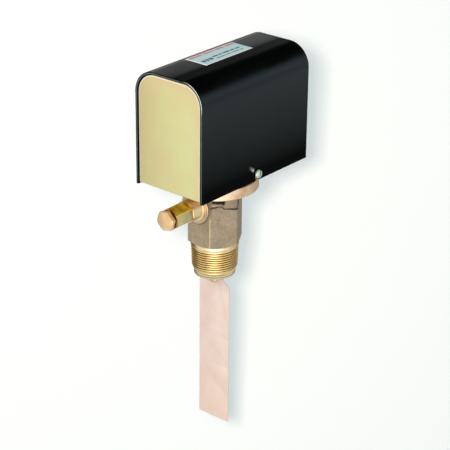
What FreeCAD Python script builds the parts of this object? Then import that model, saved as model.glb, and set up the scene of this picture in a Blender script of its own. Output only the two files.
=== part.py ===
# Paddle flow switch for a 1-1/4 inch pipe tee, heavy-duty pattern with a bellows seal.
#
# Frame, in millimetres: Z is the axis of the pipe thread and points up, out of the tee. X runs along
# the switch housing, whose plain end plate faces -X, and the flow that trips the switch runs towards
# -X. The origin is on the thread's axis, where the full thread begins above the plain nose.
import FreeCAD, Part
import math
import os

# ---------------------------------------------------------------- pipe end of the body
thread_r = 21.08            # major radius of a 1-1/4 inch taper pipe thread
thread_length = 22.0
thread_lead = 1.3           # height of the lead chamfer below the full thread
nose_r = 18.5
nose_length = 6.0           # plain nose below the thread, lead chamfer included
nose_chamfer = 0.8
runout_r = 21.6             # plain turned length between thread and hexagon
runout_length = 5.0
water_bore_r = 14.5

# ---------------------------------------------------------------- hexagon, neck and flange
hex_across_flats = 44.45
hex_length = 41.0
hex_corner_r = 1.0
hex_chamfer_inset = 2.8     # radial, turned off the hexagon's lower corners
hex_chamfer_rise = 1.7
neck_r = 23.5               # turned neck that the flange grows out of
neck_length = 11.0
flange_r = 38.4
flange_thickness = 11.6
flange_edge = 0.7
skirt_gap = 0.4             # between the flange's rim and the cover's skirt above it
pad_gap = 1.2               # between the flange's raised pad and the cover's inner face
throat_r = 10.5             # bore through the flange, under the bellows
throat_cone = 4.0
throat_length = 18.0        # from the end of the cone to the flange's top
spigot_r = 17.0             # locates the base and the pivot bracket

# ---------------------------------------------------------------- side boss and range barrel
barrel_z = 65.5             # height of the barrel's axis
boss_r = 15.3
boss_reach = 27.2           # from the thread's axis to the boss's face
boss_edge = 0.8
spigot_hole_r = 7.5         # tapped hole in the boss
spigot_length = 10.0        # barrel's threaded spigot
stem_hole_r = 3.4
barrel_neck_r = 10.0
barrel_neck_length = 12.5
barrel_collar_r = 11.7      # collar that seats on the boss
barrel_collar_length = 1.2
barrel_hex_across_flats = 18.3
barrel_hex_length = 21.1
barrel_turn = 5.0           # degrees that the hexagon stopped at when it was tightened
barrel_bore_r = 5.6
barrel_end_wall = 3.0
keyway_width = 2.2
keyway_depth = 1.2
keyway_beyond_nut = 1.0       # how far the keyway runs past the nut's last place
barrel_chamfer = 1.2
cap_neck_r = 7.3
cap_neck_length = 1.3
cap_across_flats = 16.6
cap_length = 4.2
cap_chamfer = 1.3
cap_shank_length = 6.3
cap_turn = 45.0

# ---------------------------------------------------------------- range screw, nut, spring, follower
range_screw_r = 2.5
range_screw_length = 22.0
collar_slot_depth = 0.9
collar_slot_width = 1.0
collar_length = 2.0
collar_to_mouth = 8.8       # from the barrel's mouth to the collar's outer face
retainer_length = 1.2
retainer_hole_r = 3.4
nut_length = 5.0
nut_travel = 3.0            # each way along the screw
nut_to_collar = 5.0
key_above_thread = 1.0
spring_wire_r = 0.55
spring_turns = 6.5
follower_stem_r = 2.95
follower_head_length = 2.0

# ---------------------------------------------------------------- arm, yoke and pivot
pivot_above_ring = 11.0     # pivot height above the bellows' lower ring
arm_r = 4.0
arm_below_nose = 10.3
arm_tip_r = 2.6             # rounding of the arm's lower end
arm_flat_height = 20.0      # length of the milled flat above the nose's lower face
arm_stud_r = 3.0
arm_nut_across_flats = 10.0
arm_nut_height = 4.5
arm_nut_chamfer = 0.6
arm_stud_above_nut = 1.0
yoke_cap_margin = 0.5       # the yoke's cap plate is this much larger in radius than the bellows
bellows_r = 13.5
bellows_depth = 3.2         # radial depth of a convolution
bellows_wall = 0.35
bellows_convolutions = 4
bellows_fold_flat = 0.14    # half of the flat at a crest or a root, in pitches
bellows_cuff = 1.0
ring_height = 2.0
bellows_ring_step = 0.5     # the ring is this much smaller in radius than the spigot
bellows_ring_hole_r = 9.0
yoke_thickness = 3.0
yoke_arm_thickness = 2.5
yoke_arm_gap = 3.0          # between the bellows and each yoke arm
yoke_arm_width = 12.0
yoke_eye_r = 6.0
tongue_height = 16.0
tongue_thickness = 2.0
tongue_x = 9.0
tongue_width = 10.0
pivot_pin_r = 2.0
pivot_pin_head_r = 3.4
pivot_pin_head = 1.2
ear_gap = 0.6               # between a yoke arm and its ear
ear_thickness = 2.5
ear_width = 14.0
pivot_plate_thickness = 2.0
pivot_plate_length = 56.0
pivot_plate_width = 50.0

# ---------------------------------------------------------------- paddle
paddle_width = 35.0
paddle_length = 138.7       # from the shoulders' lower corners to the straight lower edge
paddle_thickness = 0.8
paddle_tongue_width = 16.0
paddle_tongue_length = 21.7
shoulder_height = 8.0
shoulder_below_nose = 3.7   # from the nose's lower face to the top of the shoulders
paddle_corner_r = 1.0
trim_notch_r = 0.7
trim_marks = (45.2, 54.0, 82.6, 114.6)   # below the shoulders' lower corners, one per pipe size
clamp_thickness = 1.5
clamp_width = 12.0
clamp_height = 22.0
clamp_corner_r = 1.5
paddle_screw_r = 1.75
paddle_screw_pitch = 9.0
paddle_screw_reach = 3.4    # beyond the paddle's middle plane, into the arm

# ---------------------------------------------------------------- housing
box_front = 61.0            # from the thread's axis to the cover's -X end
box_length = 142.7
cover_width = 74.2
cover_height = 105.5
cover_corner_r = 21.0
cover_sheet = 1.9
cover_skirt = 1.5           # how far the cover hangs below the base
cover_slot_half = 2.8
base_sheet = 1.6
base_bend_r = 1.4
plate_gap = 1.3             # between an end plate's edge and the cover
plate_recess = 0.8          # end plates sit this far inside the cover's ends
tab_gap = 0.3
tab_width = 22.0
tab_height = 12.5
conduit_hole_r = 11.1       # 7/8 inch hole for a 1/2 inch conduit fitting
conduit_height = 34.4       # above the base's underside
label_length = 62.0
label_width = 24.0
label_thickness = 0.2
label_x = 12.0
label_y = 6.5

# ---------------------------------------------------------------- switch and its bracket
switch_x = 17.0             # face that carries the plunger
switch_depth = 24.0
switch_height = 49.2
switch_width = 17.5
switch_edge = 1.0
switch_above_floor = 15.0
switch_hole_pitch = 25.4
switch_hole_x = 14.0        # from the plunger's face
insulator_thickness = 0.8
insulator_margin = 2.5
bracket_sheet = 1.6
bracket_back = 18.0         # reach of the bracket behind the switch
bracket_foot_depth = 15.0
bracket_foot_length = 26.0
bracket_top = 2.0           # height above the switch
bracket_setback = 1.0       # from the plunger's face
bracket_drop = 2.0          # below the switch
bracket_screw_through = 1.2   # beyond the base's underside
lever_pin_x = 13.5
lever_pin_r = 1.5
lever_pin_above_pivot = 45.0
lever_hub_r = 3.0
lever_thickness = 1.2
lever_width = 10.0
lever_below_pin = 21.0
lever_pad_r = 1.6
lever_pad_below_pin = 19.0
plunger_r = 2.0
plunger_below_pin = 9.0
plunger_stroke = 1.2
plunger_inside = 5.0
terminal_pitch = 16.0
terminal_plate = (1.0, 9.0, 10.0)     # thickness, width and height
terminal_hole_depth = 6.0
terminal_screw_length = 5.5
barrier_depth = 4.0         # ribs between the terminals
barrier_thickness = 1.6
plunger_boss_r = 4.4
plunger_boss_height = 1.0
pin_head_r = 2.7            # lever pin's head and spacer
pin_head = 1.0

# ---------------------------------------------------------------- fasteners and clearances
head_share = 1.65           # a pan head's radius over its screw's
head_height_share = 1.15    # a pan head's height over its screw's radius
slot_share = 0.22           # half a slot's width over its screw's radius
beyond = 1.0                # how far a cutting shape runs past the face it opens
screw_play = 0.1            # radial, between a fastener and its hole
running_play = 0.05         # radial, between a moving shaft and its hole
touch_gap = 0.3             # between faces that meet when something moves
head_play = 0.05            # under the heads of the two cover screws
cover_screw_r = 2.4
cover_screw_x = 13.2
cover_screw_above_skirt = 6.0
cover_screw_length = 9.0
flange_screw_r = 2.4
flange_screw_x = 22.0
flange_screw_y = 20.0
flange_screw_length = 12.0
flange_screw_flats = 8.0
flange_screw_head = 3.4
flange_screw_turn = 15.0
flange_tap_spare = 1.0      # a tapped hole is this much deeper than its screw
small_screw_r = 1.9
terminal_screw_r = 1.75
ground_screw_x = -46.0
ground_screw_inset = 13.9   # inside the end plates' -Y edge
ground_washer_r = 4.6
ground_washer = 1.0
ground_screw_flats = 6.8
ground_screw_head = 2.6
ground_screw_length = 4.0
head_chamfer = 0.6          # on the corners of hexagon heads

# ---------------------------------------------------------------- heights and places that follow
hex_z = thread_length + runout_length
neck_z = hex_z + hex_length
flange_z = neck_z + neck_length
base_z = flange_z + flange_thickness
floor_z = base_z + base_sheet
pivot_plate_z = floor_z + pivot_plate_thickness
ring_z = pivot_plate_z + ring_height
pivot_z = ring_z + pivot_above_ring
bellows_top = 2.0 * pivot_z - ring_z
yoke_z = bellows_top + yoke_thickness
cover_z = base_z - cover_skirt
cover_top = cover_z + cover_height
cover_half = cover_width / 2.0
inner_half = cover_half - cover_sheet
inner_corner_r = cover_corner_r - cover_sheet
rim_z = cover_z - skirt_gap
pad_r = inner_half - pad_gap
plate_half = inner_half - plate_gap
plate_top = cover_top - cover_sheet - plate_gap
ground_screw_y = ground_screw_inset - plate_half
plate_corner_r = inner_corner_r - plate_gap
front_x = -box_front
back_x = front_x + box_length
plate_front_x = front_x + plate_recess
plate_back_x = back_x - plate_recess
cover_screw_z = cover_z + cover_screw_above_skirt
tab_y = inner_half - tab_gap
boss_x = -boss_reach
barrel_hex_x = boss_x - barrel_neck_length
barrel_mouth_x = barrel_hex_x - barrel_hex_length
barrel_end_x = boss_x + spigot_length
collar_x = barrel_mouth_x + collar_to_mouth
nut_x = collar_x + collar_length + nut_to_collar
follower_seat_x = barrel_end_x - barrel_end_wall
shoulder_z = -nose_length - shoulder_below_nose
switch_z = floor_z + switch_above_floor
switch_top = switch_z + switch_height
switch_half = switch_width / 2.0
lever_pin_z = pivot_z + lever_pin_above_pivot
bracket_y = switch_half + insulator_thickness
yoke_arm_y = bellows_r + yoke_arm_gap
ear_y = yoke_arm_y + yoke_arm_thickness + ear_gap

X_AXIS = FreeCAD.Vector(1, 0, 0)
Y_AXIS = FreeCAD.Vector(0, 1, 0)
Z_AXIS = FreeCAD.Vector(0, 0, 1)


# ---------------------------------------------------------------- shape helpers
def point(x, y, z):
    return FreeCAD.Vector(x, y, z)


def rod(radius, start, end):
    """Cylinder between two points."""
    return Part.makeCylinder(radius, (end - start).Length, start, end - start)


def block(x, y, z):
    """Box from three (low, high) ranges."""
    size = [high - low for low, high in (x, y, z)]
    return Part.makeBox(*size, point(x[0], y[0], z[0]))


def fuse(shapes):
    """One solid from touching solids, with the seams between coplanar faces removed."""
    return shapes[0].fuse(list(shapes[1:])).removeSplitter()


def turned(outline, axis=Z_AXIS, origin=point(0, 0, 0)):
    """Turned solid from (radius, distance along the axis) corners."""
    across = Z_AXIS if axis == X_AXIS else X_AXIS
    corners = [origin + across * r + axis * along for r, along in outline]
    wire = Part.makePolygon(corners + [corners[0]])
    return Part.Face(wire).revolve(origin, axis, 360)


def hexagon(across_flats, start, axis, length, turn=0.0, chamfer=0.0):
    """Hexagonal bar from start along axis; its far end can be chamfered like a bolt head."""
    reach = across_flats / math.sqrt(3.0)
    corners = []
    for corner in range(7):
        angle = math.radians(turn + 60.0 * corner)
        corners.append(point(reach * math.cos(angle), reach * math.sin(angle), 0))
    bar = Part.Face(Part.makePolygon(corners)).extrude(point(0, 0, length))
    if chamfer:
        cone = turned([(0, 0), (reach, 0), (reach, length - chamfer / 2.0),
                       (reach - chamfer, length), (0, length)])
        bar = bar.common(cone)
    bar.Placement = FreeCAD.Placement(start, FreeCAD.Rotation(Z_AXIS, axis))
    return bar


def along_x(shape, x, z):
    """Shape drawn about Z, laid along -X with its foot at (x, 0, z)."""
    shape.Placement = FreeCAD.Placement(point(x, 0, z), FreeCAD.Rotation(Z_AXIS, -X_AXIS))
    return shape


def pan_screw(radius, seat, axis, length, slotted=False):
    """Pan-head screw: seat is under its head, and its shank runs from there against axis."""
    head_r = head_share * radius
    head_height = head_height_share * radius
    head = turned([(0, 0), (head_r, 0), (head_r, 0.6 * head_height),
                   (0.8 * head_r, head_height), (0, head_height)])
    if slotted:
        half = slot_share * radius
        head = head.cut(block((-head_r, head_r), (-half, half), (0.45 * head_height, head_height + beyond)))
    shank = rod(radius, point(0, 0, -length), point(0, 0, 0))
    screw = fuse([head, shank])
    screw.Placement = FreeCAD.Placement(seat, FreeCAD.Rotation(Z_AXIS, axis))
    return screw


def arch(half_width, bottom, top, corner_r, x, depth):
    """Sheet metal end form in the YZ plane: square below, two round corners on top."""
    low_left = point(x, -half_width, bottom)
    low_right = point(x, half_width, bottom)
    spring_left = point(x, -half_width, top - corner_r)
    spring_right = point(x, half_width, top - corner_r)
    crown_left = point(x, corner_r - half_width, top)
    crown_right = point(x, half_width - corner_r, top)
    diagonal = corner_r * (1.0 - math.sqrt(0.5))
    mid_left = point(x, diagonal - half_width, top - diagonal)
    mid_right = point(x, half_width - diagonal, top - diagonal)
    edges = [
        Part.makeLine(low_right, low_left),
        Part.makeLine(low_left, spring_left),
        Part.Arc(spring_left, mid_left, crown_left).toShape(),
        Part.makeLine(crown_left, crown_right),
        Part.Arc(crown_right, mid_right, spring_right).toShape(),
        Part.makeLine(spring_right, low_right),
    ]
    return Part.Face(Part.Wire(edges)).extrude(point(depth, 0, 0))


# ---------------------------------------------------------------- body
def flange_screw_places():
    return [(x, y) for x in (-flange_screw_x, flange_screw_x) for y in (-flange_screw_y, flange_screw_y)]


def make_body_casting():
    """Brass casting: nose, thread (at its major size), hexagon, turned neck, flange, spigot, side boss."""
    pipe_end = turned([
        (0, -nose_length), (nose_r - nose_chamfer, -nose_length), (nose_r, nose_chamfer - nose_length),
        (nose_r, -thread_lead), (thread_r, 0), (thread_r, thread_length), (runout_r, thread_length),
        (runout_r, hex_z), (0, hex_z)])
    column = hexagon(hex_across_flats, point(0, 0, hex_z), Z_AXIS, hex_length, turn=30.0)
    corners = [edge for edge in column.Edges if abs(edge.tangentAt(edge.FirstParameter).z) > 0.9]
    column = column.makeFillet(hex_corner_r, corners)
    reach = hex_across_flats / math.sqrt(3.0)
    column = column.common(turned([(0, hex_z), (reach - hex_chamfer_inset, hex_z),
                                   (reach, hex_z + hex_chamfer_rise), (reach, neck_z), (0, neck_z)]))
    top = turned([
        (0, neck_z), (neck_r, neck_z), (neck_r, flange_z), (flange_r - flange_edge, flange_z),
        (flange_r, flange_z + flange_edge), (flange_r, rim_z - flange_edge), (flange_r - flange_edge, rim_z),
        (pad_r, rim_z), (pad_r, base_z), (spigot_r, base_z), (spigot_r, pivot_plate_z), (0, pivot_plate_z)])
    boss = along_x(turned([(0, 0), (boss_r, 0), (boss_r, boss_reach - boss_edge),
                           (boss_r - boss_edge, boss_reach), (0, boss_reach)]), 0, barrel_z)
    casting = fuse([pipe_end, column, top, boss])
    cone_z = base_z - throat_length - throat_cone
    bore = turned([
        (0, -nose_length), (water_bore_r + nose_chamfer, -nose_length),
        (water_bore_r, nose_chamfer - nose_length), (water_bore_r, cone_z),
        (throat_r, cone_z + throat_cone), (throat_r, pivot_plate_z), (0, pivot_plate_z)])
    side = fuse([
        rod(spigot_hole_r, point(boss_x, 0, barrel_z), point(barrel_end_x, 0, barrel_z)),
        rod(stem_hole_r, point(boss_x, 0, barrel_z), point(0, 0, barrel_z))])
    tap_z = pivot_plate_z - flange_screw_length - flange_tap_spare
    taps = [rod(flange_screw_r + screw_play, point(x, y, tap_z), point(x, y, pivot_plate_z))
            for x, y in flange_screw_places()]
    return casting.cut([bore, side] + taps)


def make_range_barrel():
    """Hexagon barrel with a round neck, a collar, a threaded spigot, a keyed bore and a stem hole."""
    spigot = rod(spigot_hole_r - screw_play, point(boss_x, 0, barrel_z), point(barrel_end_x, 0, barrel_z))
    neck = rod(barrel_neck_r, point(barrel_hex_x, 0, barrel_z), point(boss_x, 0, barrel_z))
    hex_part = hexagon(barrel_hex_across_flats, point(barrel_hex_x, 0, barrel_z), -X_AXIS,
                       barrel_hex_length, turn=barrel_turn, chamfer=barrel_chamfer)
    bore = rod(barrel_bore_r, point(barrel_mouth_x, 0, barrel_z), point(follower_seat_x, 0, barrel_z))
    stem_hole = rod(follower_stem_r + running_play, point(follower_seat_x, 0, barrel_z),
                    point(barrel_end_x, 0, barrel_z))
    keyway = block((barrel_mouth_x, nut_x + nut_length + nut_travel + keyway_beyond_nut),
                   (-keyway_width / 2.0, keyway_width / 2.0),
                   (barrel_z, barrel_z + barrel_bore_r + keyway_depth))
    collar = rod(barrel_collar_r, point(boss_x - barrel_collar_length, 0, barrel_z),
                 point(boss_x, 0, barrel_z))
    return fuse([spigot, collar, neck, hex_part]).cut([bore, stem_hole, keyway])


def make_end_cap():
    """Hexagon cap that closes the barrel, with a turned neck and a threaded shank."""
    shank = rod(barrel_bore_r - screw_play, point(barrel_mouth_x, 0, barrel_z),
                point(barrel_mouth_x + cap_shank_length, 0, barrel_z))
    neck = rod(cap_neck_r, point(barrel_mouth_x - cap_neck_length, 0, barrel_z),
               point(barrel_mouth_x, 0, barrel_z))
    head = hexagon(cap_across_flats, point(barrel_mouth_x - cap_neck_length, 0, barrel_z), -X_AXIS,
                   cap_length, turn=cap_turn, chamfer=cap_chamfer)
    return fuse([head, neck, shank])


def make_range_screw():
    """Adjusting screw: slotted collar that the retainer holds, and a threaded rod inside the spring."""
    collar = rod(barrel_bore_r - running_play, point(collar_x, 0, barrel_z),
                 point(collar_x + collar_length, 0, barrel_z))
    slot = block((collar_x - beyond, collar_x + collar_slot_depth), (-barrel_bore_r, barrel_bore_r),
                 (barrel_z - collar_slot_width / 2.0, barrel_z + collar_slot_width / 2.0))
    thread = rod(range_screw_r, point(collar_x + collar_length, 0, barrel_z),
                 point(collar_x + collar_length + range_screw_length, 0, barrel_z))
    return fuse([collar, thread]).cut(slot)


def make_screw_retainer():
    """Ring in the barrel that keeps the range screw's collar from moving out."""
    start = point(collar_x - touch_gap - retainer_length, 0, barrel_z)
    end = point(collar_x - touch_gap, 0, barrel_z)
    return rod(barrel_bore_r, start, end).cut(rod(retainer_hole_r, start, end))


def make_spring_nut():
    """Round nut on the range screw, kept from turning by a key."""
    start = point(nut_x, 0, barrel_z)
    end = point(nut_x + nut_length, 0, barrel_z)
    key_half = keyway_width / 2.0 - running_play
    key = block((nut_x, nut_x + nut_length), (-key_half, key_half),
                (barrel_z + range_screw_r + key_above_thread,
                 barrel_z + barrel_bore_r + keyway_depth - running_play))
    nut = fuse([rod(barrel_bore_r - running_play, start, end), key])
    return nut.cut(rod(range_screw_r + running_play, start, end))


def make_spring_follower():
    """Follower: its head carries the spring and its round-nosed stem pushes on the arm."""
    head_x = follower_seat_x - touch_gap
    tip_x = -arm_r - touch_gap
    stem = rod(follower_stem_r, point(head_x, 0, barrel_z), point(tip_x, 0, barrel_z))
    nose_edge = [edge for edge in stem.Edges if edge.BoundBox.XMin > tip_x - 0.1]
    stem = stem.makeFillet(0.8 * follower_stem_r, nose_edge)
    head = rod(barrel_bore_r - running_play, point(head_x - follower_head_length, 0, barrel_z),
               point(head_x, 0, barrel_z))
    return fuse([stem, head])


def make_range_spring():
    """Helical compression spring between the follower's head and the nut, its wire kept six-sided."""
    start_x = nut_x + nut_length + spring_wire_r
    end_x = follower_seat_x - touch_gap - follower_head_length - spring_wire_r
    length = end_x - start_x
    coil_r = (range_screw_r + barrel_bore_r) / 2.0
    helix = Part.makeHelix(length / spring_turns, length, coil_r)
    corners = [point(coil_r + spring_wire_r * math.cos(math.radians(60.0 * corner)), 0,
                     spring_wire_r * math.sin(math.radians(60.0 * corner))) for corner in range(7)]
    section = Part.makePolygon(corners)
    coil = Part.Wire(helix).makePipeShell([section], True, True)
    coil.Placement = FreeCAD.Placement(point(start_x, 0, barrel_z), FreeCAD.Rotation(Z_AXIS, X_AXIS))
    return coil


# ---------------------------------------------------------------- seal, pivot and arm
def bellows_side(inset):
    """Corners of one face of the bellows' wall from the bottom up, inset from the outer face."""
    crest_r = bellows_r - inset
    root_r = bellows_r - bellows_depth - inset
    start = ring_z + bellows_cuff
    pitch = (bellows_top - bellows_cuff - start) / bellows_convolutions
    root_half = bellows_fold_flat * pitch + inset
    crest_half = bellows_fold_flat * pitch - inset
    corners = [(root_r, ring_z)]
    for fold in range(bellows_convolutions):
        middle = start + (fold + 0.5) * pitch
        corners.append((root_r, middle - pitch / 2.0 + root_half))
        corners.append((crest_r, middle - crest_half))
        corners.append((crest_r, middle + crest_half))
        corners.append((root_r, middle + pitch / 2.0 - root_half))
    corners.append((root_r, bellows_top))
    return corners


def make_bellows():
    """Thin-walled metal bellows, turned about Z."""
    return turned(bellows_side(0.0) + bellows_side(bellows_wall)[::-1])


def make_bellows_ring():
    """Brass ring that the bellows' lower cuff is soldered to, on top of the spigot."""
    bottom = point(0, 0, pivot_plate_z)
    top = point(0, 0, ring_z)
    return rod(spigot_r - bellows_ring_step, bottom, top).cut(rod(bellows_ring_hole_r, bottom, top))


def make_pivot_bracket():
    """Steel plate round the spigot with two ears that carry the pivot pins."""
    half_length = pivot_plate_length / 2.0
    half_width = pivot_plate_width / 2.0
    outer_y = ear_y + ear_thickness
    plate = block((-half_length, half_length), (-half_width, half_width), (floor_z, pivot_plate_z))
    ears = []
    for side in (-1.0, 1.0):
        near, far = sorted((side * ear_y, side * outer_y))
        lower = block((-ear_width / 2.0, ear_width / 2.0), (near, far), (floor_z, pivot_z))
        eye = rod(ear_width / 2.0, point(0, near, pivot_z), point(0, far, pivot_z))
        ears.append(lower.fuse(eye))
    holes = [rod(flange_screw_r + 2.0 * screw_play, point(x, y, floor_z), point(x, y, pivot_plate_z))
             for x, y in flange_screw_places()]
    holes.append(rod(spigot_r + screw_play, point(0, 0, floor_z), point(0, 0, pivot_plate_z)))
    holes.append(rod(pivot_pin_r + screw_play, point(0, -outer_y, pivot_z), point(0, outer_y, pivot_z)))
    return fuse([plate] + ears).cut(holes)


def make_pivot_pins():
    """Two headed pins, one through each ear into the yoke's arm."""
    pins = []
    for side in (-1.0, 1.0):
        outer_y = side * (ear_y + ear_thickness)
        pin = rod(pivot_pin_r, point(0, side * yoke_arm_y, pivot_z), point(0, outer_y, pivot_z))
        head = rod(pivot_pin_head_r, point(0, outer_y, pivot_z),
                   point(0, outer_y + side * pivot_pin_head, pivot_z))
        pins.append(fuse([pin, head]))
    return Part.makeCompound(pins)


def make_arm_yoke():
    """Cap plate on the bellows with two arms down to the pivot pins and a tongue up to the lever."""
    cap = rod(bellows_r + yoke_cap_margin, point(0, 0, bellows_top), point(0, 0, yoke_z))
    far_y = yoke_arm_y + yoke_arm_thickness
    half = yoke_arm_width / 2.0
    bar = block((-half, half), (-far_y, far_y), (bellows_top, yoke_z))
    arms = []
    for side in (-1.0, 1.0):
        near, far = sorted((side * yoke_arm_y, side * far_y))
        arms.append(block((-half, half), (near, far), (pivot_z, yoke_z)))
        arms.append(rod(yoke_eye_r, point(0, near, pivot_z), point(0, far, pivot_z)))
    tongue_half = tongue_width / 2.0
    foot = block((0, tongue_x + tongue_thickness), (-tongue_half, tongue_half), (bellows_top, yoke_z))
    tongue = block((tongue_x, tongue_x + tongue_thickness), (-tongue_half, tongue_half),
                   (bellows_top, yoke_z + tongue_height))
    holes = [rod(arm_stud_r + screw_play, point(0, 0, bellows_top), point(0, 0, yoke_z)),
             rod(pivot_pin_r + running_play, point(0, -far_y, pivot_z), point(0, far_y, pivot_z))]
    return fuse([cap, bar, foot, tongue] + arms).cut(holes)


def make_paddle_arm():
    """Round rod through the bellows and the bore, milled to a half round where the paddle sits."""
    bottom = point(0, 0, -nose_length - arm_below_nose)
    shoulder = point(0, 0, bellows_top)
    top = point(0, 0, yoke_z + arm_nut_height + arm_stud_above_nut)
    shaft = rod(arm_r, bottom, shoulder)
    lower_edge = [edge for edge in shaft.Edges if edge.BoundBox.ZMax < bottom.z + 0.1]
    shaft = shaft.makeFillet(arm_tip_r, lower_edge)
    flat = block((-paddle_thickness / 2.0, 2.0 * arm_r), (-2.0 * arm_r, 2.0 * arm_r),
                 (bottom.z - beyond, arm_flat_height - nose_length))
    holes = [rod(paddle_screw_r + screw_play, point(-2.0 * arm_r, 0, z), point(0, 0, z))
             for z in paddle_screw_heights()]
    return fuse([shaft, rod(arm_stud_r, shoulder, top)]).cut([flat] + holes)


def make_arm_nut():
    """Hexagon nut that clamps the yoke to the arm."""
    nut = hexagon(arm_nut_across_flats, point(0, 0, yoke_z), Z_AXIS, arm_nut_height,
                  chamfer=arm_nut_chamfer)
    return nut.cut(rod(arm_stud_r + screw_play, point(0, 0, yoke_z), point(0, 0, yoke_z + arm_nut_height)))


# ---------------------------------------------------------------- paddle
def paddle_screw_heights():
    middle = shoulder_z + paddle_tongue_length - clamp_height / 2.0
    return [middle - paddle_screw_pitch / 2.0, middle + paddle_screw_pitch / 2.0]


def make_paddle():
    """Flat paddle: a tongue inside the nose, sloping shoulders, trim notches down both edges."""
    half = paddle_width / 2.0
    tongue_half = paddle_tongue_width / 2.0
    corner_z = shoulder_z - shoulder_height
    bottom = corner_z - paddle_length
    top = shoulder_z + paddle_tongue_length
    right = [(tongue_half, top), (tongue_half, shoulder_z), (half, corner_z), (half, bottom)]
    left = [(-y, z) for y, z in reversed(right)]
    corners = [point(-paddle_thickness / 2.0, y, z) for y, z in right + left]
    blank = Part.Face(Part.makePolygon(corners + corners[:1])).extrude(point(paddle_thickness, 0, 0))
    lower_corners = [edge for edge in blank.Edges
                     if edge.BoundBox.ZMax < bottom + 0.1 and edge.BoundBox.YLength < 0.1]
    blank = blank.makeFillet(paddle_corner_r, lower_corners)
    cuts = []
    for mark in trim_marks:
        for side in (-1.0, 1.0):
            centre = point(-paddle_thickness, side * half, corner_z - mark)
            cuts.append(rod(trim_notch_r, centre, centre + X_AXIS * 2.0 * paddle_thickness))
    for z in paddle_screw_heights():
        cuts.append(rod(paddle_screw_r + screw_play, point(-paddle_thickness, 0, z),
                        point(paddle_thickness, 0, z)))
    return blank.cut(cuts)


def make_paddle_clamp():
    """Backing plate that the paddle's screws bear on."""
    near = paddle_thickness / 2.0
    top = shoulder_z + paddle_tongue_length
    plate = block((near, near + clamp_thickness), (-clamp_width / 2.0, clamp_width / 2.0),
                  (top - clamp_height, top))
    upright = [edge for edge in plate.Edges if edge.BoundBox.XLength > 0.5 * clamp_thickness]
    plate = plate.makeFillet(clamp_corner_r, upright)
    return plate.cut([rod(paddle_screw_r + screw_play, point(0, 0, z), point(2.0 * arm_r, 0, z))
                      for z in paddle_screw_heights()])


def make_paddle_screws():
    """Two screws through the clamp and the paddle into the arm."""
    head_x = paddle_thickness / 2.0 + clamp_thickness
    length = head_x + paddle_screw_reach
    return Part.makeCompound([pan_screw(paddle_screw_r, point(head_x, 0, z), X_AXIS, length)
                              for z in paddle_screw_heights()])


# ---------------------------------------------------------------- housing
def make_cover():
    """Sheet steel cover bent to an arch, open at both ends, with a slot in each side for its screw."""
    shell = arch(cover_half, cover_z, cover_top, cover_corner_r, front_x, box_length)
    hollow = arch(inner_half, cover_z - beyond, cover_top - cover_sheet, inner_corner_r, front_x, box_length)
    slot = fuse([
        rod(cover_slot_half, point(cover_screw_x, -cover_width, cover_screw_z),
            point(cover_screw_x, cover_width, cover_screw_z)),
        block((cover_screw_x - cover_slot_half, cover_screw_x + cover_slot_half),
              (-cover_width, cover_width), (cover_z - beyond, cover_screw_z))])
    return shell.cut([hollow, slot])


def make_cover_label():
    """Bare label that follows the cover's top."""
    outside = arch(cover_half + label_thickness, cover_z, cover_top + label_thickness,
                   cover_corner_r + label_thickness, front_x, box_length)
    inside = arch(cover_half, cover_z - beyond, cover_top, cover_corner_r, front_x, box_length)
    outline = block((label_x - label_length / 2.0, label_x + label_length / 2.0),
                    (label_y - label_width / 2.0, label_y + label_width / 2.0),
                    (cover_top - cover_corner_r, cover_top + beyond))
    return outside.cut(inside).common(outline)


def make_housing_base():
    """Sheet steel base: floor, two arched end plates and a tab up each side for the cover's screw."""
    depth = plate_back_x - plate_front_x
    body = arch(plate_half, base_z, plate_top, plate_corner_r, plate_front_x, depth)
    bottom_edges = [edge for edge in body.Edges
                    if edge.BoundBox.ZMax < base_z + 0.1 and edge.BoundBox.XLength < 0.1]
    body = body.makeFillet(base_bend_r, bottom_edges)
    room = block((plate_front_x + base_sheet, plate_back_x - base_sheet),
                 (-cover_width, cover_width), (floor_z, cover_top))
    shapes = [body.cut(room)]
    tab_x = (cover_screw_x - tab_width / 2.0, cover_screw_x + tab_width / 2.0)
    for side in (-1.0, 1.0):
        upright = sorted((side * (tab_y - base_sheet), side * tab_y))
        bridge = sorted((side * (plate_half - base_sheet), side * tab_y))
        shapes.append(block(tab_x, upright, (base_z, base_z + tab_height)))
        shapes.append(block(tab_x, bridge, (base_z, floor_z)))
    below = base_z - beyond
    above = floor_z + beyond
    holes = [rod(flange_screw_r + 2.0 * screw_play, point(x, y, below), point(x, y, above))
             for x, y in flange_screw_places()]
    holes.append(rod(spigot_r + 2.0 * screw_play, point(0, 0, below), point(0, 0, above)))
    holes.append(rod(cover_screw_r + screw_play, point(cover_screw_x, -cover_width, cover_screw_z),
                     point(cover_screw_x, cover_width, cover_screw_z)))
    holes.append(rod(conduit_hole_r, point(plate_back_x - 2.0 * base_sheet, 0, base_z + conduit_height),
                     point(plate_back_x + beyond, 0, base_z + conduit_height)))
    holes.extend(rod(small_screw_r + screw_play, point(x, y, below), point(x, y, above))
                 for x, y in bracket_screw_places() + [(ground_screw_x, ground_screw_y)])
    return fuse(shapes).cut(holes)


def make_cover_screws():
    """Slotted screws outside the cover, one in each side tab."""
    seat = cover_half + head_play
    return Part.makeCompound([
        pan_screw(cover_screw_r, point(cover_screw_x, side * seat, cover_screw_z), Y_AXIS * side,
                  cover_screw_length, slotted=True) for side in (-1.0, 1.0)])


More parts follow.
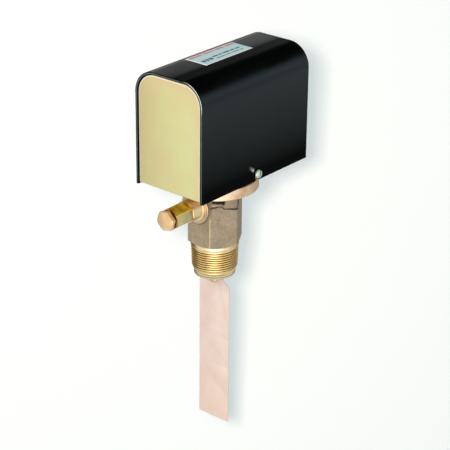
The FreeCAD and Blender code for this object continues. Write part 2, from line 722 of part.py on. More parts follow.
def make_flange_screws():
    """Four hexagon-head screws from the pivot bracket down into the flange."""
    screws = []
    for x, y in flange_screw_places():
        head = hexagon(flange_screw_flats, point(x, y, pivot_plate_z), Z_AXIS, flange_screw_head,
                       turn=flange_screw_turn, chamfer=head_chamfer)
        shank = rod(flange_screw_r, point(x, y, pivot_plate_z - flange_screw_length),
                    point(x, y, pivot_plate_z))
        screws.append(fuse([head, shank]))
    return Part.makeCompound(screws)


def make_ground_screw():
    """Hexagon-washer screw in the floor for the earth wire."""
    seat = point(ground_screw_x, ground_screw_y, floor_z)
    crown = seat + Z_AXIS * ground_washer
    washer = rod(ground_washer_r, seat, crown)
    head = hexagon(ground_screw_flats, crown, Z_AXIS, ground_screw_head, chamfer=head_chamfer)
    shank = rod(small_screw_r, seat - Z_AXIS * ground_screw_length, seat)
    return fuse([washer, head, shank])


# ---------------------------------------------------------------- switch
def switch_hole_heights():
    middle = switch_z + switch_height / 2.0
    return [middle - switch_hole_pitch / 2.0, middle + switch_hole_pitch / 2.0]


def terminal_heights():
    middle = switch_z + switch_height / 2.0
    return [middle - terminal_pitch, middle, middle + terminal_pitch]


def bracket_screw_places():
    back = switch_x + switch_depth + bracket_back
    y = bracket_y + bracket_foot_depth * 0.6
    return [(back - 0.8 * bracket_foot_length, y), (back - 0.2 * bracket_foot_length, y)]


def make_switch_body():
    """Moulded switch case with a plunger hole, two mounting holes and barriers between the terminals."""
    back_x_of_switch = switch_x + switch_depth
    case = block((switch_x, back_x_of_switch), (-switch_half, switch_half), (switch_z, switch_top))
    case = case.makeFillet(switch_edge, [edge for edge in case.Edges if edge.BoundBox.YLength > switch_half])
    ribs = []
    middle = switch_z + switch_height / 2.0
    for z in (middle - terminal_pitch / 2.0, middle + terminal_pitch / 2.0):
        ribs.append(block((back_x_of_switch, back_x_of_switch + barrier_depth), (-switch_half, switch_half),
                          (z - barrier_thickness / 2.0, z + barrier_thickness / 2.0)))
    plunger_z = lever_pin_z - plunger_below_pin
    boss_x_end = switch_x - plunger_boss_height
    boss = rod(plunger_boss_r, point(boss_x_end, 0, plunger_z), point(switch_x, 0, plunger_z))
    holes = [rod(plunger_r + running_play, point(boss_x_end, 0, plunger_z),
                 point(switch_x + plunger_inside + plunger_stroke + touch_gap, 0, plunger_z))]
    for z in switch_hole_heights():
        holes.append(rod(small_screw_r + 2.0 * screw_play, point(switch_x + switch_hole_x, -switch_half, z),
                         point(switch_x + switch_hole_x, switch_half, z)))
    for z in terminal_heights():
        holes.append(rod(terminal_screw_r + screw_play, point(back_x_of_switch - terminal_hole_depth, 0, z),
                         point(back_x_of_switch, 0, z)))
    return fuse([case, boss] + ribs).cut(holes)


def make_switch_plunger():
    """Plunger with a domed tip that the lever presses."""
    z = lever_pin_z - plunger_below_pin
    tip_x = lever_pin_x + lever_thickness / 2.0 + touch_gap
    pin = rod(plunger_r, point(tip_x, 0, z), point(switch_x + plunger_inside, 0, z))
    tip_edge = [edge for edge in pin.Edges if edge.BoundBox.XMax < tip_x + 0.1]
    return pin.makeFillet(0.7 * plunger_r, tip_edge)


def make_switch_lever():
    """Strip that hangs from its pin: a rounded pad faces the tongue, its back presses the plunger."""
    half = lever_width / 2.0
    front_x_of_strip = lever_pin_x - lever_thickness / 2.0
    strip = block((front_x_of_strip, lever_pin_x + lever_thickness / 2.0), (-half, half),
                  (lever_pin_z - lever_below_pin, lever_pin_z))
    hub = rod(lever_hub_r, point(lever_pin_x, -half, lever_pin_z), point(lever_pin_x, half, lever_pin_z))
    pad_z = lever_pin_z - lever_pad_below_pin
    pad_x = tongue_x + tongue_thickness + touch_gap + lever_pad_r
    pad = fuse([
        rod(lever_pad_r, point(pad_x, -half, pad_z), point(pad_x, half, pad_z)),
        block((pad_x, lever_pin_x), (-half, half), (pad_z - lever_pad_r, pad_z + lever_pad_r))])
    hole = rod(lever_pin_r + running_play, point(lever_pin_x, -half, lever_pin_z),
               point(lever_pin_x, half, lever_pin_z))
    return fuse([strip, hub, pad]).cut(hole)


def make_lever_pin():
    """Pin pressed in the bracket, with a head that keeps the lever on."""
    half = lever_width / 2.0
    pin = rod(lever_pin_r, point(lever_pin_x, -half - touch_gap, lever_pin_z),
              point(lever_pin_x, bracket_y + bracket_sheet, lever_pin_z))
    head = rod(pin_head_r, point(lever_pin_x, -half - touch_gap - pin_head, lever_pin_z),
               point(lever_pin_x, -half - touch_gap, lever_pin_z))
    spacer = rod(pin_head_r, point(lever_pin_x, half + touch_gap, lever_pin_z),
                 point(lever_pin_x, bracket_y, lever_pin_z))
    return fuse([pin, head, spacer])


def make_switch_bracket():
    """Bent plate: an upright beside the switch with a nose for the lever's pin, and a foot."""
    back = switch_x + switch_depth + bracket_back
    foot_x = back - bracket_foot_length
    top = max(switch_top + bracket_top, lever_pin_z + 2.0 * lever_hub_r)
    nose_z = lever_pin_z - 2.0 * lever_hub_r
    nose_x = lever_pin_x - 1.5 * lever_hub_r
    front = switch_x + bracket_setback
    lower = switch_z - bracket_drop
    outline = [(nose_x, top), (nose_x, nose_z), (front, nose_z), (front, lower), (foot_x, lower),
               (foot_x, floor_z), (back, floor_z), (back, switch_z),
               (switch_x + switch_depth + bracket_drop, top)]
    corners = [point(x, bracket_y, z) for x, z in outline]
    upright = Part.Face(Part.makePolygon(corners + corners[:1])).extrude(point(0, bracket_sheet, 0))
    foot = block((foot_x, back), (bracket_y, bracket_y + bracket_foot_depth),
                 (floor_z, floor_z + bracket_sheet))
    y_ends = (bracket_y - beyond, bracket_y + bracket_sheet + beyond)
    holes = [rod(lever_pin_r + screw_play, point(lever_pin_x, y_ends[0], lever_pin_z),
                 point(lever_pin_x, y_ends[1], lever_pin_z))]
    for z in switch_hole_heights():
        holes.append(rod(small_screw_r + screw_play, point(switch_x + switch_hole_x, y_ends[0], z),
                         point(switch_x + switch_hole_x, y_ends[1], z)))
    for x, y in bracket_screw_places():
        holes.append(rod(small_screw_r + screw_play, point(x, y, floor_z - beyond),
                         point(x, y, floor_z + bracket_sheet + beyond)))
    return fuse([upright, foot]).cut(holes)


def make_switch_insulator():
    """Fibre sheet between the switch and its bracket."""
    margin = insulator_margin
    sheet = block((switch_x + bracket_setback, switch_x + switch_depth + margin), (switch_half, bracket_y),
                  (switch_z - margin / 2.0, switch_top))
    holes = [rod(small_screw_r + 2.0 * screw_play, point(switch_x + switch_hole_x, switch_half, z),
                 point(switch_x + switch_hole_x, bracket_y, z)) for z in switch_hole_heights()]
    return sheet.cut(holes)


def make_switch_screws():
    """Two screws through the switch into its bracket."""
    length = switch_width + insulator_thickness + bracket_sheet
    return Part.makeCompound([pan_screw(small_screw_r, point(switch_x + switch_hole_x, -switch_half, z),
                                        -Y_AXIS, length) for z in switch_hole_heights()])


def make_bracket_screws():
    """Two screws through the bracket's foot into the floor."""
    seat_z = floor_z + bracket_sheet
    length = bracket_sheet + base_sheet + bracket_screw_through
    return Part.makeCompound([pan_screw(small_screw_r, point(x, y, seat_z), Z_AXIS, length)
                              for x, y in bracket_screw_places()])


def make_terminals():
    """Three brass terminal plates on the back of the switch."""
    thickness, width, height = terminal_plate
    x = switch_x + switch_depth
    plates = []
    for z in terminal_heights():
        plate = block((x, x + thickness), (-width / 2.0, width / 2.0), (z - height / 2.0, z + height / 2.0))
        hole = rod(terminal_screw_r + screw_play, point(x, 0, z), point(x + thickness, 0, z))
        plates.append(plate.cut(hole))
    return Part.makeCompound(plates)


def make_terminal_screws():
    """Three binding-head screws, one in each terminal plate."""
    x = switch_x + switch_depth + terminal_plate[0]
    return Part.makeCompound([pan_screw(terminal_screw_r, point(x, 0, z), X_AXIS,
                                        terminal_screw_length)
                              for z in terminal_heights()])


# ---------------------------------------------------------------- the whole switch
PARTS = {
    "body_casting": make_body_casting,
    "range_barrel": make_range_barrel,
    "end_cap": make_end_cap,
    "range_screw": make_range_screw,
    "screw_retainer": make_screw_retainer,
    "spring_nut": make_spring_nut,
    "spring_follower": make_spring_follower,
    "range_spring": make_range_spring,
    "bellows_ring": make_bellows_ring,
    "bellows": make_bellows,
    "pivot_bracket": make_pivot_bracket,
    "pivot_pins": make_pivot_pins,
    "flange_screws": make_flange_screws,
    "paddle_arm": make_paddle_arm,
    "arm_yoke": make_arm_yoke,
    "arm_nut": make_arm_nut,
    "paddle": make_paddle,
    "paddle_clamp": make_paddle_clamp,
    "paddle_screws": make_paddle_screws,
    "housing_base": make_housing_base,
    "cover": make_cover,
    "cover_label": make_cover_label,
    "cover_screws": make_cover_screws,
    "ground_screw": make_ground_screw,
    "switch_body": make_switch_body,
    "switch_plunger": make_switch_plunger,
    "switch_lever": make_switch_lever,
    "lever_pin": make_lever_pin,
    "switch_bracket": make_switch_bracket,
    "switch_insulator": make_switch_insulator,
    "switch_screws": make_switch_screws,
    "bracket_screws": make_bracket_screws,
    "terminals": make_terminals,
    "terminal_screws": make_terminal_screws,
}

os.makedirs("parts", exist_ok=True)
for node, make in PARTS.items():
    shape = make()
    shape.exportStep(f"parts/{node}.step")
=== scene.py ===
"""Paddle flow switch: the finish of every piece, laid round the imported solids.

Sizes are in millimetres and are turned to metres where a mesh is made. Z is the axis of the pipe
thread and points up, X runs along the switch housing, whose plain end plate faces -X.
"""
from __future__ import annotations

import logging
import math
from dataclasses import dataclass
from enum import Enum
from functools import partial
from typing import Callable, Sequence

import bmesh
import bpy
from mathutils import Matrix, Vector

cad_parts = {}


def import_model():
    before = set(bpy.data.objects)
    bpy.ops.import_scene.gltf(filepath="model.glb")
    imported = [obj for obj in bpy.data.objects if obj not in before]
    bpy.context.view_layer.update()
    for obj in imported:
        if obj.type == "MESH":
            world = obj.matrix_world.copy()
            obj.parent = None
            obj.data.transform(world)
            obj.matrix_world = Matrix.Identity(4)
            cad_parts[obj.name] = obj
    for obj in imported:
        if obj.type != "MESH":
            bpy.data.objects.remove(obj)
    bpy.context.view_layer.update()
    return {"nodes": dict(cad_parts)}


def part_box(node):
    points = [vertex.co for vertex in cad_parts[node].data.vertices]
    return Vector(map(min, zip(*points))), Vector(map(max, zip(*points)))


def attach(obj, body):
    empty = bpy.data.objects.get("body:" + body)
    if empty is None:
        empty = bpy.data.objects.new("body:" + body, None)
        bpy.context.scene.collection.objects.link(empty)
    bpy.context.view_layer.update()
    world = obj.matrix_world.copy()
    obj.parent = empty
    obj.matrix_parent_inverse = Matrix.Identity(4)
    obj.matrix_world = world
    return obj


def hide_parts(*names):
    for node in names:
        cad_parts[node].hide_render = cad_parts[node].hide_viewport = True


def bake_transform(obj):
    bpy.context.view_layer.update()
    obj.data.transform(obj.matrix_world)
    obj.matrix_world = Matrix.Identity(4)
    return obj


MM = 0.001
NOISE_ROUGHNESS = 0.55
LOG = logging.getLogger("flow_switch")
Point = tuple[float, float, float]


class Axis(Enum):
    """Direction that a turned form or a fastener points along."""

    X = (1.0, 0.0, 0.0)
    MINUS_X = (-1.0, 0.0, 0.0)
    Y = (0.0, 1.0, 0.0)
    MINUS_Y = (0.0, -1.0, 0.0)
    Z = (0.0, 0.0, 1.0)


class Body(Enum):
    """Bodies of the frame that pieces ride on."""

    HOUSING = "housing"
    COVER = "cover"
    PADDLE = "paddle"
    NUT = "spring_nut"
    FOLLOWER = "spring_follower"


# ------------------------------------------------------------------------------ small tools
def linear(hex_colour: str) -> tuple[float, float, float, float]:
    """Turns an sRGB hex colour to linear light.

    Args:
        hex_colour: colour such as "#d9cf96".

    Returns:
        Red, green, blue and alpha for a shader socket.
    """
    parts = [int(hex_colour[i:i + 2], 16) / 255.0 for i in (1, 3, 5)]
    light = [c / 12.92 if c <= 0.04045 else ((c + 0.055) / 1.055) ** 2.4 for c in parts]
    return (light[0], light[1], light[2], 1.0)


def smoothstep(low: float, high: float, value: float) -> float:
    """Rises smoothly from 0 at low to 1 at high."""
    share = min(max((value - low) / (high - low), 0.0), 1.0)
    return share * share * (3.0 - 2.0 * share)


def add_node(tree: bpy.types.NodeTree, kind: str, inputs: dict | None = None, **settings) -> bpy.types.Node:
    """Adds a node with its settings and links.

    Args:
        tree: material, world or geometry tree.
        kind: node type.
        inputs: socket name or index to a value, or to the field or output socket that feeds it.
        settings: properties of the node itself.

    Returns:
        The new node.
    """
    node = tree.nodes.new(kind)
    for key, value in settings.items():
        setattr(node, key, value)
    for key, value in (inputs or {}).items():
        value = value.socket if isinstance(value, Field) else value
        if isinstance(value, bpy.types.NodeSocket):
            tree.links.new(value, node.inputs[key])
        else:
            node.inputs[key].default_value = value
    return node


@dataclass(frozen=True)
class Field:
    """A value in a node tree that formulas are written with, as with a plain number."""

    tree: bpy.types.NodeTree
    socket: bpy.types.NodeSocket

    def join(self, operation: str, other: Field | float = 0.0) -> Field:
        """Gives the result of a math operation on this value and another."""
        return field(self.tree, "ShaderNodeMath", {0: self, 1: other}, operation=operation)

    def __add__(self, other: Field | float) -> Field:
        """Gives the sum."""
        return self.join("ADD", other)

    def __sub__(self, other: Field | float) -> Field:
        """Gives this value less another."""
        return self.join("SUBTRACT", other)

    def __rsub__(self, other: float) -> Field:
        """Gives a number less this value."""
        return field(self.tree, "ShaderNodeMath", {0: other, 1: self}, operation="SUBTRACT")

    def __mul__(self, other: Field | float) -> Field:
        """Gives the product."""
        return self.join("MULTIPLY", other)

    def __truediv__(self, other: Field | float) -> Field:
        """Gives the quotient."""
        return self.join("DIVIDE", other)

    def __pow__(self, other: float) -> Field:
        """Gives a power."""
        return self.join("POWER", other)

    def __abs__(self) -> Field:
        """Gives the value without its sign."""
        return self.join("ABSOLUTE")

    def least(self, other: Field | float) -> Field:
        """Gives the lesser of two values."""
        return self.join("MINIMUM", other)

    def most(self, other: Field | float) -> Field:
        """Gives the greater of two values."""
        return self.join("MAXIMUM", other)

    def spread(self, low: Field | float, high: Field | float, to_low: float = 0.0,
               to_high: float = 1.0) -> Field:
        """Maps a range of values onto another and holds it at both ends.

        Args:
            low: value that becomes to_low.
            high: value that becomes to_high.
            to_low: start of the new range.
            to_high: end of the new range.

        Returns:
            The mapped value.
        """
        ends = {0: self, 1: low, 2: high, 3: to_low, 4: to_high}
        return field(self.tree, "ShaderNodeMapRange", ends, clamp=True)

    def mix(self, first: Field | str, second: Field | str) -> Field:
        """Mixes two colours, with this value as the second one's share.

        Args:
            first: hex colour or field at a share of 0.
            second: hex colour or field at a share of 1.

        Returns:
            The mixed colour.
        """
        ends = [linear(colour) if isinstance(colour, str) else colour for colour in (first, second)]
        return field(self.tree, "ShaderNodeMix", {0: self, 6: ends[0], 7: ends[1]}, 2, data_type="RGBA")


def field(tree: bpy.types.NodeTree, kind: str, inputs: dict | None = None, output: int | str = 0,
          **settings) -> Field:
    """Adds a node and gives one of its outputs.

    Args:
        tree: tree to add to.
        kind: node type.
        inputs: what its sockets get, as add_node takes it.
        output: name or index of the output.
        settings: properties of the node itself.

    Returns:
        The output's value.
    """
    return Field(tree, add_node(tree, kind, inputs, **settings).outputs[output])


def place_parts(tree: bpy.types.NodeTree) -> tuple[Field, Field, Field]:
    """Gives the place of each point that a geometry tree handles.

    Args:
        tree: geometry tree.

    Returns:
        X, Y and Z in metres.
    """
    place = add_node(tree, "GeometryNodeInputPosition")
    parts = add_node(tree, "ShaderNodeSeparateXYZ", {0: place.outputs[0]})
    return tuple(Field(tree, part) for part in parts.outputs)


def mesh_object(name: str, points: Sequence[Point], faces: Sequence[Sequence[int]]) -> bpy.types.Object:
    """Makes an object at the origin from millimetre points.

    Args:
        name: name of the object and its mesh.
        points: corners in millimetres.
        faces: corner indices of each face.

    Returns:
        The linked object, with smooth faces and outward normals.
    """
    mesh = bpy.data.meshes.new(name)
    mesh.from_pydata([[c * MM for c in p] for p in points], [], [list(f) for f in faces])
    work = bmesh.new()
    work.from_mesh(mesh)
    bmesh.ops.remove_doubles(work, verts=work.verts, dist=0.002 * MM)
    bmesh.ops.dissolve_degenerate(work, dist=0.0005 * MM, edges=work.edges)
    bmesh.ops.recalc_face_normals(work, faces=work.faces)
    work.to_mesh(mesh)
    work.free()
    mesh.polygons.foreach_set("use_smooth", [True] * len(mesh.polygons))
    item = bpy.data.objects.new(name, mesh)
    bpy.context.scene.collection.objects.link(item)
    return item


def marks(name: str, places: Sequence[Point]) -> bpy.types.Object:
    """Makes an object of loose points, for a rule to set its pieces on.

    Args:
        name: name of the object and its mesh.
        places: the points in millimetres.

    Returns:
        The linked object.
    """
    mesh = bpy.data.meshes.new(name)
    mesh.from_pydata([[c * MM for c in p] for p in places], [], [])
    item = bpy.data.objects.new(name, mesh)
    bpy.context.scene.collection.objects.link(item)
    return item


def grid_faces(rows: int, columns: int, closed: bool = False) -> list[tuple[int, int, int, int]]:
    """Lists the faces of a grid of points laid out row by row.

    Args:
        rows: rows of faces.
        columns: points in each row.
        closed: whether each row's end joins its start.

    Returns:
        Corner indices of each face.
    """
    faces = []
    for near in range(0, rows * columns, columns):
        for a in range(columns if closed else columns - 1):
            b = (a + 1) % columns
            faces.append((near + a, near + b, near + columns + b, near + columns + a))
    return faces


def turned(name: str, outline: Sequence[tuple[float, float]], axis: Axis = Axis.Z, steps: int = 96,
           foot: Point = (0.0, 0.0, 0.0)) -> bpy.types.Object:
    """Turns a closed outline about an axis.

    Args:
        name: object name.
        outline: (radius, distance along the axis) corners of the closed outline.
        axis: direction of the axis.
        steps: divisions of a full turn.
        foot: where distance 0 lies, in millimetres.

    Returns:
        The turned object.
    """
    along = Vector(axis.value)
    across = Vector((0.0, 1.0, 0.0)) if abs(along.x) > 0.5 else Vector((1.0, 0.0, 0.0))
    third = along.cross(across)
    points: list[Point] = []
    for step in range(steps):
        angle = 2.0 * math.pi * step / steps
        spoke = across * math.cos(angle) + third * math.sin(angle)
        points.extend(tuple(Vector(foot) + spoke * r + along * s) for r, s in outline)
    count = len(outline)
    faces = []
    for step in range(steps):
        near, far = step * count, ((step + 1) % steps) * count
        for i in range(count):
            j = (i + 1) % count
            faces.append((near + i, near + j, far + j, far + i))
    return mesh_object(name, points, faces)


def rounded(corners: Sequence[tuple[float, float]], radius: float,
            steps: int = 4) -> list[tuple[float, float]]:
    """Rounds each corner of a closed outline with a small quadratic blend.

    Args:
        corners: corners in order.
        radius: how far along its sides each blend starts, less on short sides.
        steps: divisions of a blend.

    Returns:
        The rounded outline.
    """
    result: list[tuple[float, float]] = []
    count = len(corners)
    for i, corner in enumerate(corners):
        here = Vector(corner)
        before = Vector(corners[i - 1]) - here
        after = Vector(corners[(i + 1) % count]) - here
        start = here + before.normalized() * min(radius, 0.4 * before.length)
        end = here + after.normalized() * min(radius, 0.4 * after.length)
        for step in range(steps + 1):
            t = step / steps
            place = start * (1 - t) ** 2 + here * 2 * t * (1 - t) + end * t * t
            result.append((place.x, place.y))
    return result


def add_modifier(item: bpy.types.Object, kind: str, **settings) -> bpy.types.Modifier:
    """Adds a modifier with its settings.

    Args:
        item: object to add to.
        kind: modifier type.
        settings: properties of the modifier.

    Returns:
        The new modifier.
    """
    modifier = item.modifiers.new(kind.title(), kind)
    for key, value in settings.items():
        setattr(modifier, key, value)
    return modifier


def settle(item: bpy.types.Object) -> bpy.types.Object:
    """Turns an object with its modifiers into a plain mesh.

    Args:
        item: object whose modifiers are to be applied.

    Returns:
        The same object, with no modifiers left.
    """
    bpy.context.view_layer.update()
    graph = bpy.context.evaluated_depsgraph_get()
    mesh = bpy.data.meshes.new_from_object(item.evaluated_get(graph), depsgraph=graph)
    item.modifiers.clear()
    item.data = mesh
    return item


def soften(item: bpy.types.Object, width: float, segments: int = 2, angle: float = 32.0) -> None:
    """Breaks the sharp edges of a piece and keeps its flats flat.

    Args:
        item: object to finish.
        width: width of the broken edge in millimetres.
        segments: faces across the broken edge.
        angle: edges sharper than this many degrees are broken.
    """
    add_modifier(item, "BEVEL", width=width * MM, segments=segments, limit_method="ANGLE",
                 angle_limit=math.radians(angle), harden_normals=False)
    add_modifier(item, "WEIGHTED_NORMAL", keep_sharp=True, weight=60)


# ------------------------------------------------------------------------------ rules that repeat
@dataclass(frozen=True)
class Rule:
    """A Geometry Nodes tree with named inputs.

    `lay` gets the tree, the incoming geometry's socket and the named inputs, and returns the finished
    geometry's socket.
    """

    name: str
    inputs: tuple[str, ...]
    lay: Callable[[bpy.types.NodeTree, bpy.types.NodeSocket, dict[str, Field]], bpy.types.NodeSocket]

    def tree(self) -> bpy.types.NodeTree:
        """Builds the tree: the rule itself, then Realize Instances and Set Material.

        Returns:
            The new tree.
        """
        tree = bpy.data.node_groups.new(self.name, "GeometryNodeTree")
        tree.interface.new_socket("Geometry", in_out="INPUT", socket_type="NodeSocketGeometry")
        for label in self.inputs:
            kind = "NodeSocketObject" if label == "Part" else "NodeSocketFloat"
            kind = "NodeSocketVector" if label == "Direction" else kind
            tree.interface.new_socket(label, in_out="INPUT", socket_type=kind)
        tree.interface.new_socket("Finish", in_out="INPUT", socket_type="NodeSocketMaterial")
        tree.interface.new_socket("Geometry", in_out="OUTPUT", socket_type="NodeSocketGeometry")
        start = add_node(tree, "NodeGroupInput")
        named = {label: Field(tree, start.outputs[label]) for label in self.inputs}
        shape = self.lay(tree, start.outputs["Geometry"], named)
        real = add_node(tree, "GeometryNodeRealizeInstances", {"Geometry": shape})
        dressed = add_node(tree, "GeometryNodeSetMaterial",
                           {"Geometry": real.outputs[0], "Material": start.outputs["Finish"]})
        add_node(tree, "NodeGroupOutput", {"Geometry": dressed.outputs[0]})
        return tree

    def run(self, item: bpy.types.Object, finish: Finish, **values) -> bpy.types.Object:
        """Runs the rule on an object and leaves a plain mesh.

        Args:
            item: object that carries the starting mesh.
            finish: finish of the result.
            values: the named inputs, with underscores for spaces.

        Returns:
            The same object with its new mesh.
        """
        tree = self.tree()
        modifier = item.modifiers.new(self.name, "NODES")
        modifier.node_group = tree
        given = {key.replace("_", " ").title(): value for key, value in values.items()}
        given["Finish"] = finish.material()
        for socket in tree.interface.items_tree:
            if socket.in_out == "INPUT" and socket.name in given:
                modifier[socket.identifier] = given[socket.name]
        item.data.update_tag()
        return settle(item)


def thread_rule(tree: bpy.types.NodeTree, shape: bpy.types.NodeSocket,
                sizes: dict[str, Field]) -> bpy.types.NodeSocket:
    """Cuts a right-handed taper thread about Z into a turned blank.

    Args:
        tree: geometry tree.
        shape: the blank.
        sizes: Pitch, Depth, Start, End, Crest (radius at Start) and Taper, in metres.

    Returns:
        The threaded blank.
    """
    entry = 0.3
    crest_half, root_half = 0.06, 0.46
    wall = 0.0035
    x, y, z = place_parts(tree)
    pitch, start, end = sizes["Pitch"], sizes["Start"], sizes["End"]
    phase = (z / pitch - y.join("ARCTAN2", x) / math.tau).join("FRACT")
    flank = abs(phase * 2.0 - 1.0).spread(crest_half, root_half, 1.0, 0.0)
    gate = z.spread(start, start + pitch * entry) * z.spread(end - pitch, end, 1.0, 0.0)
    crest = sizes["Crest"] + (z - start) * sizes["Taper"]
    flat = add_node(tree, "ShaderNodeCombineXYZ", {0: x, 1: y, 2: 0.0})
    radius = field(tree, "ShaderNodeVectorMath", {0: flat.outputs[0]}, "Value", operation="LENGTH")
    scale = radius.least(crest - flank * gate * sizes["Depth"]) / radius
    moved = add_node(tree, "ShaderNodeCombineXYZ", {0: x * scale, 1: y * scale, 2: z})
    outside = radius.join("GREATER_THAN", crest - wall) * gate.join("GREATER_THAN", 0.0)
    chosen = add_node(tree, "FunctionNodeCompare", {
        0: outside, 1: 0.5}, data_type="FLOAT", operation="GREATER_THAN")
    return add_node(tree, "GeometryNodeSetPosition", {
        "Geometry": shape, "Selection": chosen.outputs[0], "Position": moved.outputs[0]}).outputs[0]


def bellows_rule(tree: bpy.types.NodeTree, shape: bpy.types.NodeSocket,
                 sizes: dict[str, Field]) -> bpy.types.NodeSocket:
    """Folds a plain tube about Z into round convolutions.

    Args:
        tree: geometry tree.
        shape: the tube, at the convolutions' mean radius.
        sizes: Bottom, Top, Folds and Swing (half the depth of a fold), in metres.

    Returns:
        The folded tube.
    """
    x, y, z = place_parts(tree)
    turn = z.spread(sizes["Bottom"], sizes["Top"]) * sizes["Folds"] * math.tau
    wave = turn.join("COSINE") * sizes["Swing"] * -1.0
    flat = add_node(tree, "ShaderNodeCombineXYZ", {0: x, 1: y, 2: 0.0})
    outward = add_node(tree, "ShaderNodeVectorMath", {0: flat.outputs[0]}, operation="NORMALIZE")
    offset = add_node(tree, "ShaderNodeVectorMath", {0: outward.outputs[0], "Scale": wave}, operation="SCALE")
    return add_node(tree, "GeometryNodeSetPosition", {
        "Geometry": shape, "Offset": offset.outputs[0]}).outputs[0]


def coil_rule(tree: bpy.types.NodeTree, shape: bpy.types.NodeSocket,
              sizes: dict[str, Field]) -> bpy.types.NodeSocket:
    """Winds a round wire into a helix along Direction from the first point of the starting mesh.

    Args:
        tree: geometry tree.
        shape: one point, where the coil starts.
        sizes: Turns, Coil (its mean radius), Length and Wire (its radius) in metres, and Direction.

    Returns:
        The coil.
    """
    spiral = add_node(tree, "GeometryNodeCurveSpiral", {
        "Resolution": 40, "Rotations": sizes["Turns"], "Start Radius": sizes["Coil"],
        "End Radius": sizes["Coil"], "Height": sizes["Length"]})
    wire = add_node(tree, "GeometryNodeCurvePrimitiveCircle", {
        "Resolution": 12, "Radius": sizes["Wire"]}, mode="RADIUS")
    swept = add_node(tree, "GeometryNodeCurveToMesh",
                     {"Curve": spiral.outputs[0], "Profile Curve": wire.outputs[0], "Fill Caps": True})
    lean = add_node(tree, "FunctionNodeAlignRotationToVector", {"Vector": sizes["Direction"]}, axis="Z")
    points = add_node(tree, "GeometryNodeMeshToPoints", {"Mesh": shape})
    placed = add_node(tree, "GeometryNodeInstanceOnPoints", {
        "Points": points.outputs[0], "Instance": swept.outputs[0], "Rotation": lean.outputs[0]})
    return placed.outputs[0]


def fastener_rule(tree: bpy.types.NodeTree, shape: bpy.types.NodeSocket,
                  sizes: dict[str, Field]) -> bpy.types.NodeSocket:
    """Sets one fastener on each point, turned about its axis as far as it happened to be driven.

    Args:
        tree: geometry tree.
        shape: one point under each fastener's head.
        sizes: Part (the fastener, standing on Z), Direction of its head, and Spin in radians.

    Returns:
        The set of fasteners as instances.
    """
    source = add_node(tree, "GeometryNodeObjectInfo", {"Object": sizes["Part"]}, transform_space="ORIGINAL")
    lean = add_node(tree, "FunctionNodeAlignRotationToVector", {"Vector": sizes["Direction"]}, axis="Z")
    driven = add_node(tree, "FunctionNodeRandomValue", {"Seed": 7, 3: sizes["Spin"]}, data_type="FLOAT")
    spun = add_node(tree, "FunctionNodeAxisAngleToRotation", {
        "Axis": (0.0, 0.0, 1.0), "Angle": driven.outputs[1]})
    both = add_node(tree, "FunctionNodeRotateRotation",
                    {"Rotation": lean.outputs[0], "Rotate By": spun.outputs[0]}, rotation_space="LOCAL")
    points = add_node(tree, "GeometryNodeMeshToPoints", {"Mesh": shape})
    placed = add_node(tree, "GeometryNodeInstanceOnPoints", {
        "Points": points.outputs[0], "Instance": source.outputs["Geometry"], "Rotation": both.outputs[0]})
    return placed.outputs[0]


THREAD = Rule("taper_thread", ("Pitch", "Depth", "Start", "End", "Crest", "Taper"), thread_rule)
BELLOWS = Rule("bellows_folds", ("Bottom", "Top", "Folds", "Swing"), bellows_rule)
COIL = Rule("wire_coil", ("Turns", "Coil", "Length", "Wire", "Direction"), coil_rule)
FASTENERS = Rule("fasteners", ("Part", "Direction", "Spin"), fastener_rule)


# ------------------------------------------------------------------------------ finishes
@dataclass(frozen=True)
class Surface:
    """The shader of one material and the place that its patterns are laid by."""

    tree: bpy.types.NodeTree
    shader: bpy.types.Node
    place: bpy.types.NodeSocket

    def along(self) -> tuple[Field, Field, Field]:
        """Gives the place of each point.

        Returns:
            X, Y and Z in millimetres.
        """
        scaled = add_node(self.tree, "ShaderNodeVectorMath", {
            0: self.place, "Scale": 1.0 / MM}, operation="SCALE")
        parts = add_node(self.tree, "ShaderNodeSeparateXYZ", {0: scaled.outputs[0]})
        return tuple(Field(self.tree, part) for part in parts.outputs)

    def stored(self, label: str) -> Field:
        """Gives the value that the mesh stores under a label."""
        return field(self.tree, "ShaderNodeAttribute", output="Fac", attribute_name=label)

    def noise(self, width: float, detail: float = 3.0, stretch: Point = (1.0, 1.0, 1.0)) -> Field:
        """Lays a noise whose patches have a real width.

        Args:
            width: patch width in millimetres.
            detail: octaves of the noise.
            stretch: how many times finer the noise is along X, Y and Z.

        Returns:
            The noise's value, about 0.5.
        """
        place = add_node(self.tree, "ShaderNodeMapping", {"Vector": self.place, "Scale": stretch})
        return field(self.tree, "ShaderNodeTexNoise", {
            "Vector": place.outputs[0], "Scale": 1.0 / (width * MM), "Detail": detail,
            "Roughness": NOISE_ROUGHNESS}, "Fac")

    def feed(self, label: str, value: Field) -> None:
        """Links a value to one of the shader's sockets."""
        self.tree.links.new(value.socket, self.shader.inputs[label])

    def relieve(self, height: Field, depth: float, strength: float) -> None:
        """Gives the shader a bump.

        Args:
            height: the bump's height, from 0 to 1.
            depth: its real depth in millimetres.
            strength: share of it that shows.
        """
        self.feed("Normal", field(self.tree, "ShaderNodeBump", {
            "Height": height, "Strength": strength, "Distance": depth * MM}))


